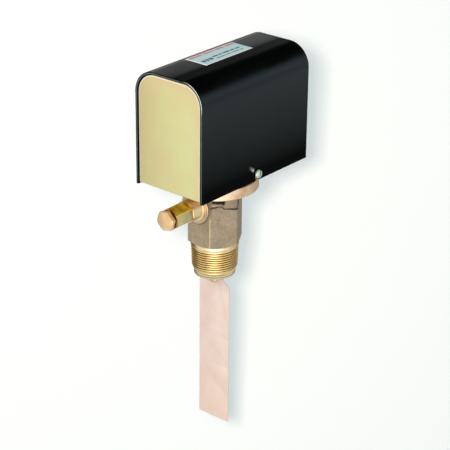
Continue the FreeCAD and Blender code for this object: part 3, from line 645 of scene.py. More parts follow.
@dataclass(frozen=True)
class Finish:
    """A plain finish: one base tone that a broad mottle and a fine grain vary.

    Sizes are in millimetres: `mottle` and `grain` are the widths of a patch and of a grain.
    """

    name: str
    base: str
    second: str
    metallic: float = 0.0
    roughness: float = 0.4
    roughness_swing: float = 0.06
    mottle: float = 12.0
    grain: float = 1.2
    relief: float = 0.01
    strength: float = 1.0
    patch_detail: float = 3.0
    patch_low: float = 0.35
    patch_high: float = 0.65

    def material(self) -> bpy.types.Material:
        """Makes the finish's material the first time it is asked for.

        Returns:
            The material, the same one each time.
        """
        found = bpy.data.materials.get(self.name)
        if found:
            return found
        material = bpy.data.materials.new(self.name)
        material.use_nodes = True
        tree = material.node_tree
        tree.nodes.clear()
        shader = add_node(tree, "ShaderNodeBsdfPrincipled", {"Metallic": self.metallic})
        add_node(tree, "ShaderNodeOutputMaterial", {"Surface": shader.outputs[0]})
        self.lay_on(Surface(tree, shader, add_node(tree, "ShaderNodeTexCoord").outputs["Object"]))
        return material

    def lay_on(self, surface: Surface) -> None:
        """Lays the colour, the roughness and the relief.

        Args:
            surface: where they are laid.
        """
        patches = self.patches(surface)
        texture = self.texture(surface)
        tone = patches.spread(self.patch_low, self.patch_high).mix(self.base, self.second)
        surface.feed("Base Color", self.tone(surface, tone, patches, texture))
        surface.feed("Roughness", self.rough(surface, patches, texture))
        surface.relieve(texture, self.relief, self.strength)

    def patches(self, surface: Surface) -> Field:
        """Gives the broad mottle."""
        return surface.noise(self.mottle, self.patch_detail)

    def texture(self, surface: Surface) -> Field:
        """Gives the fine grain, which is also the relief."""
        return surface.noise(self.grain)

    def tone(self, surface: Surface, tone: Field, patches: Field, texture: Field) -> Field:
        """Gives the colour, here the mottled base alone."""
        return tone

    def rough(self, surface: Surface, patches: Field, texture: Field) -> Field:
        """Gives the roughness, which follows the grain."""
        return self.swing(texture)

    def swing(self, value: Field) -> Field:
        """Turns a noise to a roughness that swings about the finish's own."""
        low, high = self.roughness - self.roughness_swing, self.roughness + self.roughness_swing
        return value.spread(0.3, 0.7, low, high)


@dataclass(frozen=True)
class ZincPlate(Finish):
    """Bright zinc on a steel fastener: pale and faintly green, with painted shade in the driver slot."""

    # Colour of the painted shade in the driver slot.
    slot_shade: str = "#23271f"

    def tone(self, surface: Surface, tone: Field, patches: Field, texture: Field) -> Field:
        """Adds the painted shade in the slot."""
        return surface.stored("recess").spread(0.1, 0.9).mix(tone, self.slot_shade)


@dataclass(frozen=True)
class Enamel(Finish):
    """Baked enamel on sheet steel: near black with a cool painted sheen, its strength set by place so that it
    fades towards the skirt and over the near bend, the faint orange peel of sprayed paint, a grey painted
    highlight along the sheared end, brighter over the near bend, and a painted glint beside the near cover
    screw."""

    strength: float = 0.35
    peel: float = 1.8
    # Painted sheen: specular levels, and the heights between which the side's sheen rises.
    sheen: float = 0.5
    low_sheen: float = 0.02
    low: float = 98.0
    high: float = 170.0
    top: float = 192.5
    crest: float = 194.6
    tint: str = "#c4e9f4"
    # Painted highlight along the sheared end: grey, near white over the near bend, and where it starts and
    # how far it reaches.
    edge_highlight: str = "#5a626a"
    bend_highlight: str = "#e3e6e8"
    highlight_from: float = -60.1
    highlight_reach: float = 0.55
    # Painted glint beside the near cover screw: its colour, centre and lean.
    glint_colour: str = "#c6cbcb"
    glint_x: float = 6.8
    glint_z: float = 100.0
    glint_lean: tuple[float, float] = (0.79, 0.61)
    half_width: float = 37.1
    corner: float = 21.0

    def texture(self, surface: Surface) -> Field:
        """Gives the orange peel."""
        return surface.noise(self.peel, 1.0)

    def rough(self, surface: Surface, patches: Field, texture: Field) -> Field:
        """Gives the roughness, which follows the paint's broad drift."""
        return self.swing(patches)

    def outside(self, y: Field, z: Field) -> Field:
        """Works out how far a point lies below the cover's outer face.

        Args:
            y: place across the cover in millimetres.
            z: height in millimetres.

        Returns:
            The depth in millimetres.
        """
        side = (abs(y) - (self.half_width - self.corner)).most(0.0)
        above = (z - (self.crest - self.corner)).most(0.0)
        return self.corner - (side ** 2.0 + above ** 2.0).join("SQRT")

    def dimple_glint(self, x: Field, y: Field, z: Field) -> Field:
        """Gives the painted glint beside the near cover screw, which stands for light on the rim of the
        pressed dimple.

        Args:
            x: place along the cover in millimetres.
            y: place across it.
            z: height.

        Returns:
            The streak, from 0 to 0.8.
        """
        right, above = x - self.glint_x, z - self.glint_z
        major, minor = self.glint_lean
        along = above * minor - right * major
        across = abs(above * major + right * minor)
        streak = (along.spread(8.5, 0.0) * along.spread(-2.5, -0.5)) ** 2.0
        return streak * across.spread(2.0, 0.4, 0.0, 0.8) * y.spread(-33.0, -35.0)

    def tone(self, surface: Surface, tone: Field, patches: Field, texture: Field) -> Field:
        """Adds the painted highlight along the sheared end and the painted glint beside the near cover screw.

        Args:
            surface: where the finish is laid.
            tone: the drifting black.
            patches: the drift.
            texture: the orange peel.

        Returns:
            The colour.
        """
        x, y, z = surface.along()
        # Painted highlight at the front end: a band near the outer face on the near side and near the inner
        # face elsewhere, near white over the near bend.
        under = self.outside(y, z)
        outer = under.spread(0.15, 0.35) * under.spread(1.0, 0.75)
        inner = under.spread(0.95, 1.15) * under.spread(1.85, 1.6)
        near = y.spread(-15.0, -24.0)
        bend = near * z.spread(168.0, 176.0)
        shell = outer * near + inner * y.spread(-20.0, -10.0)
        edge_highlight = x.spread(self.highlight_from, self.highlight_from - self.highlight_reach) * shell
        tone = edge_highlight.mix(tone, bend.mix(self.edge_highlight, self.bend_highlight))
        # Painted glint on the dimple beside the near cover screw.
        return self.dimple_glint(x, y, z).mix(tone, self.glint_colour)

    def lay_on(self, surface: Surface) -> None:
        """Lays the paint and then its painted sheen, whose specular level is set by place and differs from
        side to top.

        Args:
            surface: where they are laid.
        """
        super().lay_on(surface)
        x, y, z = surface.along()
        # Painted sheen: low at the skirt and over the near part of the top, rising up the side and towards
        # the far side and rear of the top.
        side = z.spread(self.low, self.high, self.low_sheen, self.sheen)
        top = y.spread(-6.0, 20.0, 0.006, 0.3) + y.spread(18.0, 34.0, 0.0, 0.3)
        top = top * x.spread(-60.0, 75.0, 0.85, 1.9)
        on_top = z.spread(self.top - 6.0, self.top)
        surface.feed("Specular IOR Level", field(
            surface.tree, "ShaderNodeMix", {0: on_top, 2: side, 3: top}, data_type="FLOAT"))
        surface.shader.inputs["Specular Tint"].default_value = linear(self.tint)


@dataclass(frozen=True)
class YellowZinc(Finish):
    """Zinc plate with a yellow dichromate passivation: pale straw, faintly pink and green in broad clouds,
    warmer where the film is thinner beside the sheet's bent edge, and with a painted highlight along the edge
    itself."""

    strength: float = 0.3
    patch_detail: float = 1.5
    patch_low: float = 0.42
    patch_high: float = 0.72
    pink: str = "#dabd99"
    # Colour of the painted highlight along the plate's edge.
    rim: str = "#efe8c6"
    half_width: float = 34.0
    top: float = 191.0
    corner: float = 18.0

    def inset(self, surface: Surface) -> Field:
        """Works out how far a point of an end plate lies inside its arched outline.

        Args:
            surface: where the finish is laid.

        Returns:
            The distance in millimetres.
        """
        _, y, z = surface.along()
        across = abs(y) - (self.half_width - self.corner)
        above = z - (self.top - self.corner)
        outer = (across.most(0.0) ** 2.0 + above.most(0.0) ** 2.0).join("SQRT")
        return self.corner - (outer + across.most(above).least(0.0))

    def tone(self, surface: Surface, tone: Field, patches: Field, texture: Field) -> Field:
        """Lays the pink haze, the warm border and the painted highlight along the rim.

        Args:
            surface: where the finish is laid.
            tone: the base under its green clouds.
            patches: the clouds.
            texture: the grain.

        Returns:
            The colour.
        """
        inset = self.inset(surface)
        tone = surface.noise(self.mottle * 0.45, 2.0).spread(0.5, 0.8, 0.0, 0.35).mix(tone, self.pink)
        tone = inset.spread(1.0, 9.0, 0.5, 0.0).mix(tone, self.pink)
        # Painted highlight along the plate's edge.
        return inset.spread(0.4, 1.15, 0.8, 0.0).mix(tone, self.rim)


@dataclass(frozen=True)
class SandCast(Finish):
    """Sand-cast red brass, tumbled but not machined: a gritty brown-grey skin, bright at worn corners."""

    strength: float = 0.8
    patch_detail: float = 2.0
    patch_low: float = 0.32
    patch_high: float = 0.68
    worn: str = "#dcc39c"
    worn_shine: float = 0.2
    pit: str = "#5e4d3c"
    olive: str = "#a3986c"
    shadow: str = "#0b0806"

    def texture(self, surface: Surface) -> Field:
        """Gives the print of the sand."""
        return surface.noise(self.grain, 4.0)

    def wear(self, surface: Surface, texture: Field) -> Field:
        """Gives the worn corners, broken up by the sand."""
        return surface.stored("wear") * texture.spread(0.3, 0.55, 0.45, 1.0)

    def rough(self, surface: Surface, patches: Field, texture: Field) -> Field:
        """Gives the roughness, lower where the corners are worn."""
        return self.wear(surface, texture).spread(0.0, 1.0, self.roughness, self.roughness - self.worn_shine)

    def tone(self, surface: Surface, tone: Field, patches: Field, texture: Field) -> Field:
        """Lays the stain, the sand's speckle, dark pits, the worn corners and the painted shade in the
        recesses.

        Args:
            surface: where the finish is laid.
            tone: the skin's patches.
            patches: the noise that laid them.
            texture: the print of the sand.

        Returns:
            The colour.
        """
        stain = surface.noise(self.mottle * 1.6, 2.0, (1.0, 1.0, 0.7))
        speck = surface.noise(self.grain * 0.5, 2.0)
        tone = stain.spread(0.5, 0.68, 0.0, 0.6).mix(tone, self.olive)
        tone = texture.spread(0.53, 0.72, 0.0, 0.55).mix(tone, self.worn)
        tone = speck.spread(0.54, 0.7, 0.0, 0.5).mix(tone, self.pit)
        tone = self.wear(surface, texture).mix(tone, self.worn)
        # Painted shade in the cast slot, under the neck's overhang, on a band of the neck and round the boss.
        return surface.stored("recess").mix(tone, self.shadow)


@dataclass(frozen=True)
class Machined(Finish):
    """Metal from the lathe or the bar: bright, with fine tool marks round or along an axis."""

    strength: float = 0.5
    patch_detail: float = 2.0
    lay: Point = (1.0, 1.0, 12.0)

    def texture(self, surface: Surface) -> Field:
        """Gives the tool marks, drawn out along their lay."""
        return surface.noise(self.grain * max(self.lay), 2.0, self.lay)

    def tone(self, surface: Surface, tone: Field, patches: Field, texture: Field) -> Field:
        """Adds the marks' own tone."""
        return texture.spread(0.5, 0.8, 0.0, 0.4).mix(tone, self.second)


@dataclass(frozen=True)
class ThreadedBrass(Machined):
    """Turned brass with a cut thread: pale on the crests, brown in the roots, where the brass has oxidised.
    """

    root: str = "#9c6420"
    crest_at_origin: float = 20.5
    taper: float = 1.0 / 32.0
    lead_at_origin: float = 19.39
    lead_slope: float = 0.413
    root_from: float = 0.25
    root_depth: float = 0.9
    ring_pitch: float = 2.2
    plain: str = "#fbe8c4"
    thread_low: float = -1.6
    thread_high: float = 22.0

    def tone(self, surface: Surface, tone: Field, patches: Field, texture: Field) -> Field:
        """Darkens whatever lies deep under the thread's crests and rings the plain nose.

        Args:
            surface: where the finish is laid.
            tone: the mottled brass.
            patches: its mottle.
            texture: the tool marks.

        Returns:
            The colour.
        """
        x, y, z = surface.along()
        crest = (z * self.taper + self.crest_at_origin).least(z * self.lead_slope + self.lead_at_origin)
        deep = (crest - (x ** 2.0 + y ** 2.0).join("SQRT")).spread(self.root_from, self.root_depth)
        threaded = z.spread(self.thread_low, self.thread_low + 1.2) * z.join("LESS_THAN", self.thread_high)
        nose = z.spread(self.thread_low + 1.6, self.thread_low)
        ring = nose * (z * (2.0 * math.pi / self.ring_pitch)).join("SINE").spread(0.0, 0.8, 0.0, 0.7)
        plain = nose.most(z.join("GREATER_THAN", self.thread_high + 0.4))
        tone = (deep * threaded).mix(tone, self.root)
        tone = (plain * 0.7).mix(tone, self.plain)
        return ring.mix(tone, self.root)


@dataclass(frozen=True)
class BarBrass(Machined):
    """Drawn brass bar turned at one end: bright flats, darkened by painted shade and reflection near the
    turned neck, which is paler and matter than the bar, and painted reflection in yellow and brown on the
    upper flats."""

    neck: str = "#f4dcae"
    neck_from: float = -39.9
    neck_matter: float = 0.14
    # Painted reflection on the upper flats from this height up; painted shade at the front end and towards
    # the neck, in the tint colour.
    upper: str = "#ffe252"
    upper_from: float = 69.5
    front: float = -60.1
    tint: str = "#b5651c"
    shade_width: float = 6.0

    def turned_end(self, surface: Surface) -> Field:
        """Gives 1 on the turned neck and 0 on the bar."""
        return surface.along()[0].join("GREATER_THAN", self.neck_from)

    def rough(self, surface: Surface, patches: Field, texture: Field) -> Field:
        """Gives the roughness, higher on the neck."""
        return self.swing(texture) + self.turned_end(surface) * self.neck_matter

    def tone(self, surface: Surface, tone: Field, patches: Field, texture: Field) -> Field:
        """Lays the painted shade and reflection towards the neck, the painted reflection in yellow and brown
        on the upper flats, the painted shade at the front end and the pale neck.

        Args:
            surface: where the finish is laid.
            tone: the mottled bar.
            patches: its mottle.
            texture: the tool marks.

        Returns:
            The colour.
        """
        x, _, z = surface.along()
        # Painted shade and reflection towards the neck, and painted reflection in yellow and brown on the
        # upper flats.
        neck_shade = x.spread(self.neck_from - self.shade_width, self.neck_from, 0.0, 0.8)
        upper_reflection = z.spread(self.upper_from, self.upper_from + 2.0, 0.0, 0.85)
        dark_reflection = upper_reflection * patches.spread(0.48, 0.6, 0.0, 0.75)
        dark_reflection = dark_reflection * z.spread(self.upper_from + 3.0, self.upper_from + 5.0)
        tone = (neck_shade * patches.spread(0.3, 0.6, 0.5, 1.0)).mix(tone, self.tint)
        tone = upper_reflection.mix(tone, self.upper)
        tone = dark_reflection.mix(tone, self.tint)
        # Painted shade at the front end, in the groove by the cap.
        tone = x.spread(self.front + 0.3, self.front, 0.0, 0.8).mix(tone, self.tint)
        return self.turned_end(surface).mix(tone, self.neck)


@dataclass(frozen=True)
class CapBrass(Machined):
    """Faced brass hexagon cap: clean face and flats, with painted shade in the undercut behind it."""

    # Colour of the painted shade in the undercut, and where the undercut starts.
    undercut_shade: str = "#7a3512"
    undercut_from: float = -62.5

    def tone(self, surface: Surface, tone: Field, patches: Field, texture: Field) -> Field:
        """Adds the painted shade in the undercut."""
        behind = surface.along()[0].spread(self.undercut_from - 0.4, self.undercut_from, 0.0, 0.9)
        return behind.mix(tone, self.undercut_shade)


@dataclass(frozen=True)
class RolledStrip(Finish):
    """Rolled phosphor bronze strip, bead-blasted matte: pale pink, warmer towards its free end."""

    strength: float = 0.4
    patch_low: float = 0.38
    patch_high: float = 0.66
    warm: str = "#f0cfbe"
    warm_from: float = -60.0
    warm_to: float = -150.0

    def patches(self, surface: Surface) -> Field:
        """Gives broad handling marks."""
        return surface.noise(self.mottle, self.patch_detail, (1.0, 1.0, 0.6))

    def texture(self, surface: Surface) -> Field:
        """Gives the rolling grain, six times as long as it is wide."""
        return surface.noise(self.grain * 6.0, 3.0, (6.0, 6.0, 1.0))

    def tone(self, surface: Surface, tone: Field, patches: Field, texture: Field) -> Field:
        """Adds the warmer lower end."""
        low = surface.along()[2].spread(self.warm_from, self.warm_to, 0.0, 0.75)
        return (low * patches.spread(0.3, 0.6, 0.4, 1.0)).mix(tone, self.warm)


@dataclass(frozen=True)
class PrintedFilm(Finish):
    """Polyester label film with a white border, a pale panel, a dashed red band and plain dark bars."""

    panel: str = "#bfe4ea"
    band: str = "#dc7d95"
    ink: str = "#18242a"
    centre: tuple[float, float] = (12.0, 6.5)
    size: tuple[float, float] = (62.0, 24.0)
    border: float = 1.4
    band_width: float = 3.0
    band_dashes: tuple[float, ...] = (17.0, 14.0, 11.0, 12.0)
    # Each row of bars: its lower and upper edge, where it starts, the bars' lengths and the gap.
    rows: tuple[tuple[float, float, float, tuple[float, ...], float], ...] = (
        (6.2, 10.6, 4.5, (4.0, 3.0, 4.5), 1.0),
        (9.4, 11.6, 20.0, (7.0, 4.0, 9.0, 5.0, 6.0), 1.2),
        (5.2, 6.3, 20.0, (12.0, 6.0, 10.0, 4.0), 1.0))

    def run_of(self, start: float, lengths: Sequence[float], gap: float) -> list[tuple[float, float]]:
        """Lists the ends of bars set one after another.

        Args:
            start: where the first begins.
            lengths: the bars' lengths.
            gap: space between neighbours.

        Returns:
            (start, end) of each bar in millimetres.
        """
        places = []
        for length in lengths:
            places.append((start, start + length))
            start += length + gap
        return places

    def gate(self, value: Field, low: float, high: float) -> Field:
        """Gives 1 between two values and 0 outside them."""
        return value.join("GREATER_THAN", low) * value.join("LESS_THAN", high)

    def lay_on(self, surface: Surface) -> None:
        """Lays border, panel, band and bars from the label's own corner. The film has no relief.

        Args:
            surface: where they are laid.
        """
        x, y, _ = surface.along()
        width, height = self.size
        right = x - (self.centre[0] - width / 2.0)
        up = y - (self.centre[1] - height / 2.0)
        edge = self.border
        inside = self.gate(right, edge, width - edge) * self.gate(up, edge, height - edge)
        tone = inside.mix(self.base, self.panel)
        bars = [(self.band, height - edge - self.band_width, height - edge, bar)
                for bar in self.run_of(edge, self.band_dashes, 1.6)]
        for low, high, start, lengths, gap in self.rows:
            bars += [(self.ink, low, high, bar) for bar in self.run_of(start, lengths, gap)]
        for colour, low, high, (start, end) in bars:
            tone = (self.gate(right, start, end) * self.gate(up, low, high)).mix(tone, colour)
        fade = self.patches(surface)
        surface.feed("Base Color", fade.spread(0.4, 0.7, 0.0, 0.16).mix(tone, self.second))
        surface.feed("Roughness", self.swing(fade))


# Real tool marks are about 0.1 mm apart, zinc's crystals 0.05 mm and the sand's grains 0.3 mm. All of them
# are drawn several times coarser here, because at their real size they wouldn't show.

# Sprayed black stove enamel: deep black that takes a soft cool sheen and ripples very slightly.
COVER_ENAMEL = Enamel("black_enamel_sprayed", "#030404", "#050707", roughness=0.25, mottle=40.0, relief=0.02)
# Dipped green paint: a small even glossy head.
GROUND_GREEN = Enamel("green_enamel_dipped", "#1d6b34", "#185a2c", roughness=0.3, mottle=3.0, relief=0.01)
# Dichromated zinc: soft straw yellow, half matte, that clouds to pink and green.
YELLOW_ZINC = YellowZinc("steel_yellow_zinc_plated", "#d4c791", "#d2d096", metallic=0.3, roughness=0.42,
                         mottle=38.0, grain=0.8, relief=0.01)
# Raw casting: dull brown-grey with grit that breaks the light, bright only on rubbed corners.
CAST_BRASS = SandCast("red_brass_sand_cast", "#ae9985", "#9b8a72", metallic=0.4, roughness=0.6,
                      mottle=9.0, grain=2.0, relief=0.12)
# Lathe-turned yellow brass: bright bands of light round the axis.
TURNED_BRASS = Machined("brass_turned", "#f0d898", "#e2bd70", metallic=1.0, roughness=0.26,
                        mottle=14.0, grain=0.35, relief=0.02)
# Cut thread: shining pale crests over dark brown roots.
THREAD_BRASS = ThreadedBrass("brass_thread_cut", "#f6db9c", "#ecca80", metallic=1.0, roughness=0.24,
                             mottle=14.0, grain=0.35, relief=0.015)
# Turned red brass: pinker and softer than yellow brass.
TURNED_FLANGE = Machined("red_brass_turned", "#f6dcc0", "#e2b48a", metallic=0.7, roughness=0.34,
                         mottle=12.0, grain=0.4, relief=0.015)
# Brass rod turned about X: gold with fine rings.
TURNED_ALONG = Machined("brass_rod_turned", "#e2bf74", "#c79c4c", metallic=1.0, roughness=0.24,
                        mottle=16.0, grain=0.4, relief=0.01, lay=(1.0, 8.0, 8.0))
# Drawn hexagon bar: mirror-like flats in light brass, with painted reflection in yellow and brown on the
# upper flats and painted shade towards the neck.
BARREL_BRASS = BarBrass("brass_hexagon_bar", "#ece4b0", "#dccb90", metallic=1.0, roughness=0.2,
                        mottle=9.0, grain=0.4, relief=0.01, lay=(1.0, 8.0, 8.0))
# Faced brass: an even, silky, warm disc.
TURNED_FACE = CapBrass("brass_faced", "#f8dcb0", "#eec08a", metallic=0.7, roughness=0.36,
                       mottle=10.0, grain=0.35, relief=0.01, lay=(1.0, 6.0, 6.0))
# Faced red brass: the same silk, browner.
TURNED_BOSS = Machined("red_brass_faced", "#d6bc9c", "#c4a888", metallic=0.7, roughness=0.36,
                       mottle=10.0, grain=0.35, relief=0.01, lay=(1.0, 6.0, 6.0))
# Brass rod dulled by water: pale and half matte.
ARM_BRASS = Machined("brass_rod_dulled", "#dcc4a8", "#c8ac8c", metallic=0.6, roughness=0.4,
                     mottle=12.0, grain=0.4, relief=0.01, lay=(8.0, 8.0, 1.0))
# Formed tin bronze: deeper gold, its folds catching thin lines of light.
BELLOWS_BRASS = Machined("tin_bronze_formed", "#c9a25f", "#b58c4c", metallic=1.0, roughness=0.28,
                         mottle=8.0, grain=0.5, relief=0.01)
# Blasted phosphor bronze: flat, powdery pale pink with hardly a highlight.
PADDLE_BRONZE = RolledStrip("phosphor_bronze_rolled", "#eed6cd", "#e8cbc0", metallic=0.2, roughness=0.55,
                            mottle=16.0, grain=0.3, relief=0.01)
# Brushed stainless: neutral grey streaked along the brushing.
STAINLESS = Machined("stainless_steel_brushed", "#c4c5c4", "#a9abab", metallic=1.0, roughness=0.3,
                     mottle=12.0, grain=0.25, relief=0.01, lay=(8.0, 8.0, 1.0))
# Drawn spring wire: darker, bluer steel.
SPRING_STEEL = Machined("spring_steel_drawn", "#a3a6a8", "#8b8e90", metallic=1.0, roughness=0.32,
                        mottle=6.0, grain=0.3, relief=0.01, lay=(8.0, 1.0, 1.0))
# Bright zinc: pale, faintly green and crystalline, with painted shade in the slot.
BRIGHT_ZINC = ZincPlate("steel_bright_zinc_plated", "#dff1e6", "#c8dace", metallic=0.5, roughness=0.38,
                        mottle=2.5, grain=0.4, relief=0.01)
# Moulded phenolic: brown-black with a dry, low shine.
PHENOLIC = Finish("phenolic_moulded", "#1a1615", "#211c1a", roughness=0.42,
                  mottle=6.0, grain=0.5, relief=0.01)
# Moulded nylon: smooth dark red button.
NYLON = Finish("nylon_moulded", "#8e1d18", "#7d1814", roughness=0.36, mottle=2.0, grain=0.4, relief=0.004)
# Pressed fibre: fuzzy, matte, cardboard brown.
FIBRE = Finish("fibre_sheet_pressed", "#9c8a6c", "#8d7a5c", roughness=0.7, mottle=2.0, grain=0.4, relief=0.02)
# Printed film: smooth, with flat ink under a light gloss.
LABEL_FILM = PrintedFilm("polyester_film_printed", "#eef1ef", "#dfe9ea", roughness=0.32, mottle=9.0)


# ------------------------------------------------------------------------------ dressing
def dress(item: bpy.types.Object, finish: Finish) -> bpy.types.Object:
    """Gives a piece one finish all over.

    Args:
        item: the piece.
        finish: its finish.

    Returns:
        The same piece.
    """
    item.data.materials.clear()
    item.data.materials.append(finish.material())
    return item


def dress_node(frame: dict, node: str, finish: Finish, edge: float = 0.0) -> None:
    """Finishes a solid of the frame as it stands.

    Args:
        frame: the loaded frame.
        node: name of the solid.
        finish: its finish.
        edge: width of its broken edges in millimetres, or 0 for none.
    """
    item = frame["nodes"][node]
    dress(item, finish)
    item.data.polygons.foreach_set("use_smooth", [True] * len(item.data.polygons))
    add_modifier(item, "WELD", merge_threshold=0.001 * MM)
    if edge:
        add_modifier(item, "DECIMATE", decimate_type="DISSOLVE", angle_limit=math.radians(1.0))
        add_modifier(item, "BEVEL", width=edge * MM, segments=2, limit_method="ANGLE",
                     angle_limit=math.radians(35.0), harden_normals=False)
    add_modifier(item, "EDGE_SPLIT", split_angle=math.radians(28.0), use_edge_sharp=False)
    LOG.info("%s: %s", node, finish.name)


def seat(item: bpy.types.Object, body: Body, slot: str, *nodes: str) -> bpy.types.Object:
    """Fixes a finished piece to its body.

    Args:
        item: the piece, in place.
        body: body that it rides on.
        slot: name of its material slot; not used.
        nodes: solids that it stands for.

    Returns:
        The same piece.
    """
    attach(item, body.value)
    if nodes:
        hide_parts(*nodes)
    LOG.info("%s: %d faces, rides on %s", item.name, len(item.data.polygons), body.value)
    return item


def span(node: str) -> tuple[Vector, Vector]:
    """Gives a solid's lowest and highest corner in millimetres."""
    low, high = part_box(node)
    return low / MM, high / MM


# ------------------------------------------------------------------------------ cover
@dataclass
class Cover:
    """Black sheet steel cover: an arch open at both ends, with its label."""

    sheet: float = 1.9
    corner: float = 21.0
    edge: float = 0.45
    slot_half: float = 2.8
    screw_x: float = 13.2
    screw_above_skirt: float = 6.0
    dimple_height: float = 0.55
    dimple_reach: float = 8.0
    rows: int = 96
    arc_steps: int = 20
    label_lift: float = 0.05
    label_thickness: float = 0.15
    label_grid: tuple[int, int] = (24, 31)

    def arch(self, side_steps: int = 24) -> list[tuple[float, float, float, float]]:
        """Lists the outer arch from one skirt over the top to the other.

        Args:
            side_steps: divisions of each straight side.

        Returns:
            (y, z, normal y, normal z) along the arch.
        """
        low, high = span("cover")
        half, bend = high.y, self.corner
        centre_y, centre_z = half - bend, high.z - bend
        rise = centre_z - low.z
        line = [(-half, low.z + rise * i / side_steps, -1.0, 0.0) for i in range(side_steps)]
        for side, start in ((-centre_y, math.pi), (centre_y, 0.5 * math.pi)):
            for i in range(self.arc_steps + 1):
                a = start - 0.5 * math.pi * i / self.arc_steps
                y, z = math.cos(a), math.sin(a)
                line.append((side + bend * y, centre_z + bend * z, y, z))
        line += [(half, centre_z - rise * (i + 1) / side_steps, 1.0, 0.0) for i in range(side_steps)]
        return line

    def dimple(self, x: float, z: float) -> float:
        """Gives how far the sheet is pressed in round the screw's slot.

        Args:
            x: place along the cover in millimetres.
            z: height in millimetres.

        Returns:
            The depth in millimetres.
        """
        low, _ = span("cover")
        away = math.hypot(x - self.screw_x, z - low.z - self.screw_above_skirt)
        return self.dimple_height * smoothstep(self.dimple_reach, 0.35 * self.dimple_reach, away)

    def build_sheet(self) -> bpy.types.Object:
        """Makes the bent sheet with its screw slots and rolled-smooth edges.

        Returns:
            The finished sheet.
        """
        low, high = span("cover")
        line = self.arch()
        points: list[Point] = []
        for row in range(self.rows + 1):
            x = low.x + (high.x - low.x) * row / self.rows
            for y, z, ny, nz in line:
                press = self.dimple(x, z) if nz == 0.0 else 0.0
                points.append((x, y - ny * press, z))
        item = mesh_object("cover_sheet", points, grid_faces(self.rows, len(line)))
        self.face_out(item)
        add_modifier(item, "SOLIDIFY", thickness=self.sheet * MM, offset=-1.0, use_even_offset=True)
        cutter = self.slot_cutter()
        add_modifier(item, "BOOLEAN", object=cutter, operation="DIFFERENCE", solver="EXACT")
        settle(item)
        bpy.data.objects.remove(cutter)
        soften(item, self.edge, segments=3, angle=50.0)
        settle(item)
        return dress(item, COVER_ENAMEL)

    def face_out(self, item: bpy.types.Object) -> None:
        """Turns an open sheet's faces away from the middle of the cover.

        Args:
            item: the sheet.
        """
        low, high = span("cover")
        middle = (low + high) * 0.5 * MM
        work = bmesh.new()
        work.from_mesh(item.data)
        for face in work.faces:
            away = face.calc_center_median() - middle
            away.x = 0.0
            if face.normal.dot(away) < 0.0:
                face.normal_flip()
        work.to_mesh(item.data)
        work.free()

    def slot_cutter(self) -> bpy.types.Object:
        """Makes the bar that cuts both screw slots, round at the top and open at the skirt.

        Returns:
            The cutting bar.
        """
        low, high = span("cover")
        centre = low.z + self.screw_above_skirt
        beyond, steps = 2.0, 12
        outline = [(self.screw_x - self.slot_half, low.z - beyond)]
        for i in range(steps + 1):
            a = math.pi - math.pi * i / steps
            x, z = self.screw_x + self.slot_half * math.cos(a), centre + self.slot_half * math.sin(a)
            outline.append((x, z))
        outline.append((self.screw_x + self.slot_half, low.z - beyond))
        reach = high.y + 5.0
        points = [(x, -reach, z) for x, z in outline] + [(x, reach, z) for x, z in outline]
        count = len(outline)
        faces = [tuple(range(count)), tuple(range(2 * count - 1, count - 1, -1))]
        faces += [(i, i + count, (i + 1) % count + count, (i + 1) % count) for i in range(count)]
        return mesh_object("slot_cutter", points, faces)

    def build_label(self) -> bpy.types.Object:
        """Makes the label's film, which follows the bend of the cover's top.

        Returns:
            The finished film.
        """
        low, high = span("cover_label")
        _, top = span("cover")
        centre_y, centre_z = top.y - self.corner, top.z - self.corner
        bend = self.corner + self.label_lift
        rows, columns = self.label_grid
        points: list[Point] = []
        for row in range(rows + 1):
            y = low.y + (high.y - low.y) * row / rows
            drop = math.sqrt(bend ** 2 - max(y - centre_y, 0.0) ** 2)
            for column in range(columns + 1):
                x = low.x + (high.x - low.x) * column / columns
                points.append((x, y, centre_z + drop))
        item = mesh_object("label_film", points, grid_faces(rows, columns + 1))
        self.face_out(item)
        add_modifier(item, "SOLIDIFY", thickness=self.label_thickness * MM, offset=1.0)
        settle(item)
        return dress(item, LABEL_FILM)

    def build(self) -> None:
        """Builds and seats the cover and its label."""
        seat(self.build_sheet(), Body.COVER, "black_enamel", "cover")
        seat(self.build_label(), Body.COVER, "label_film", "cover_label")


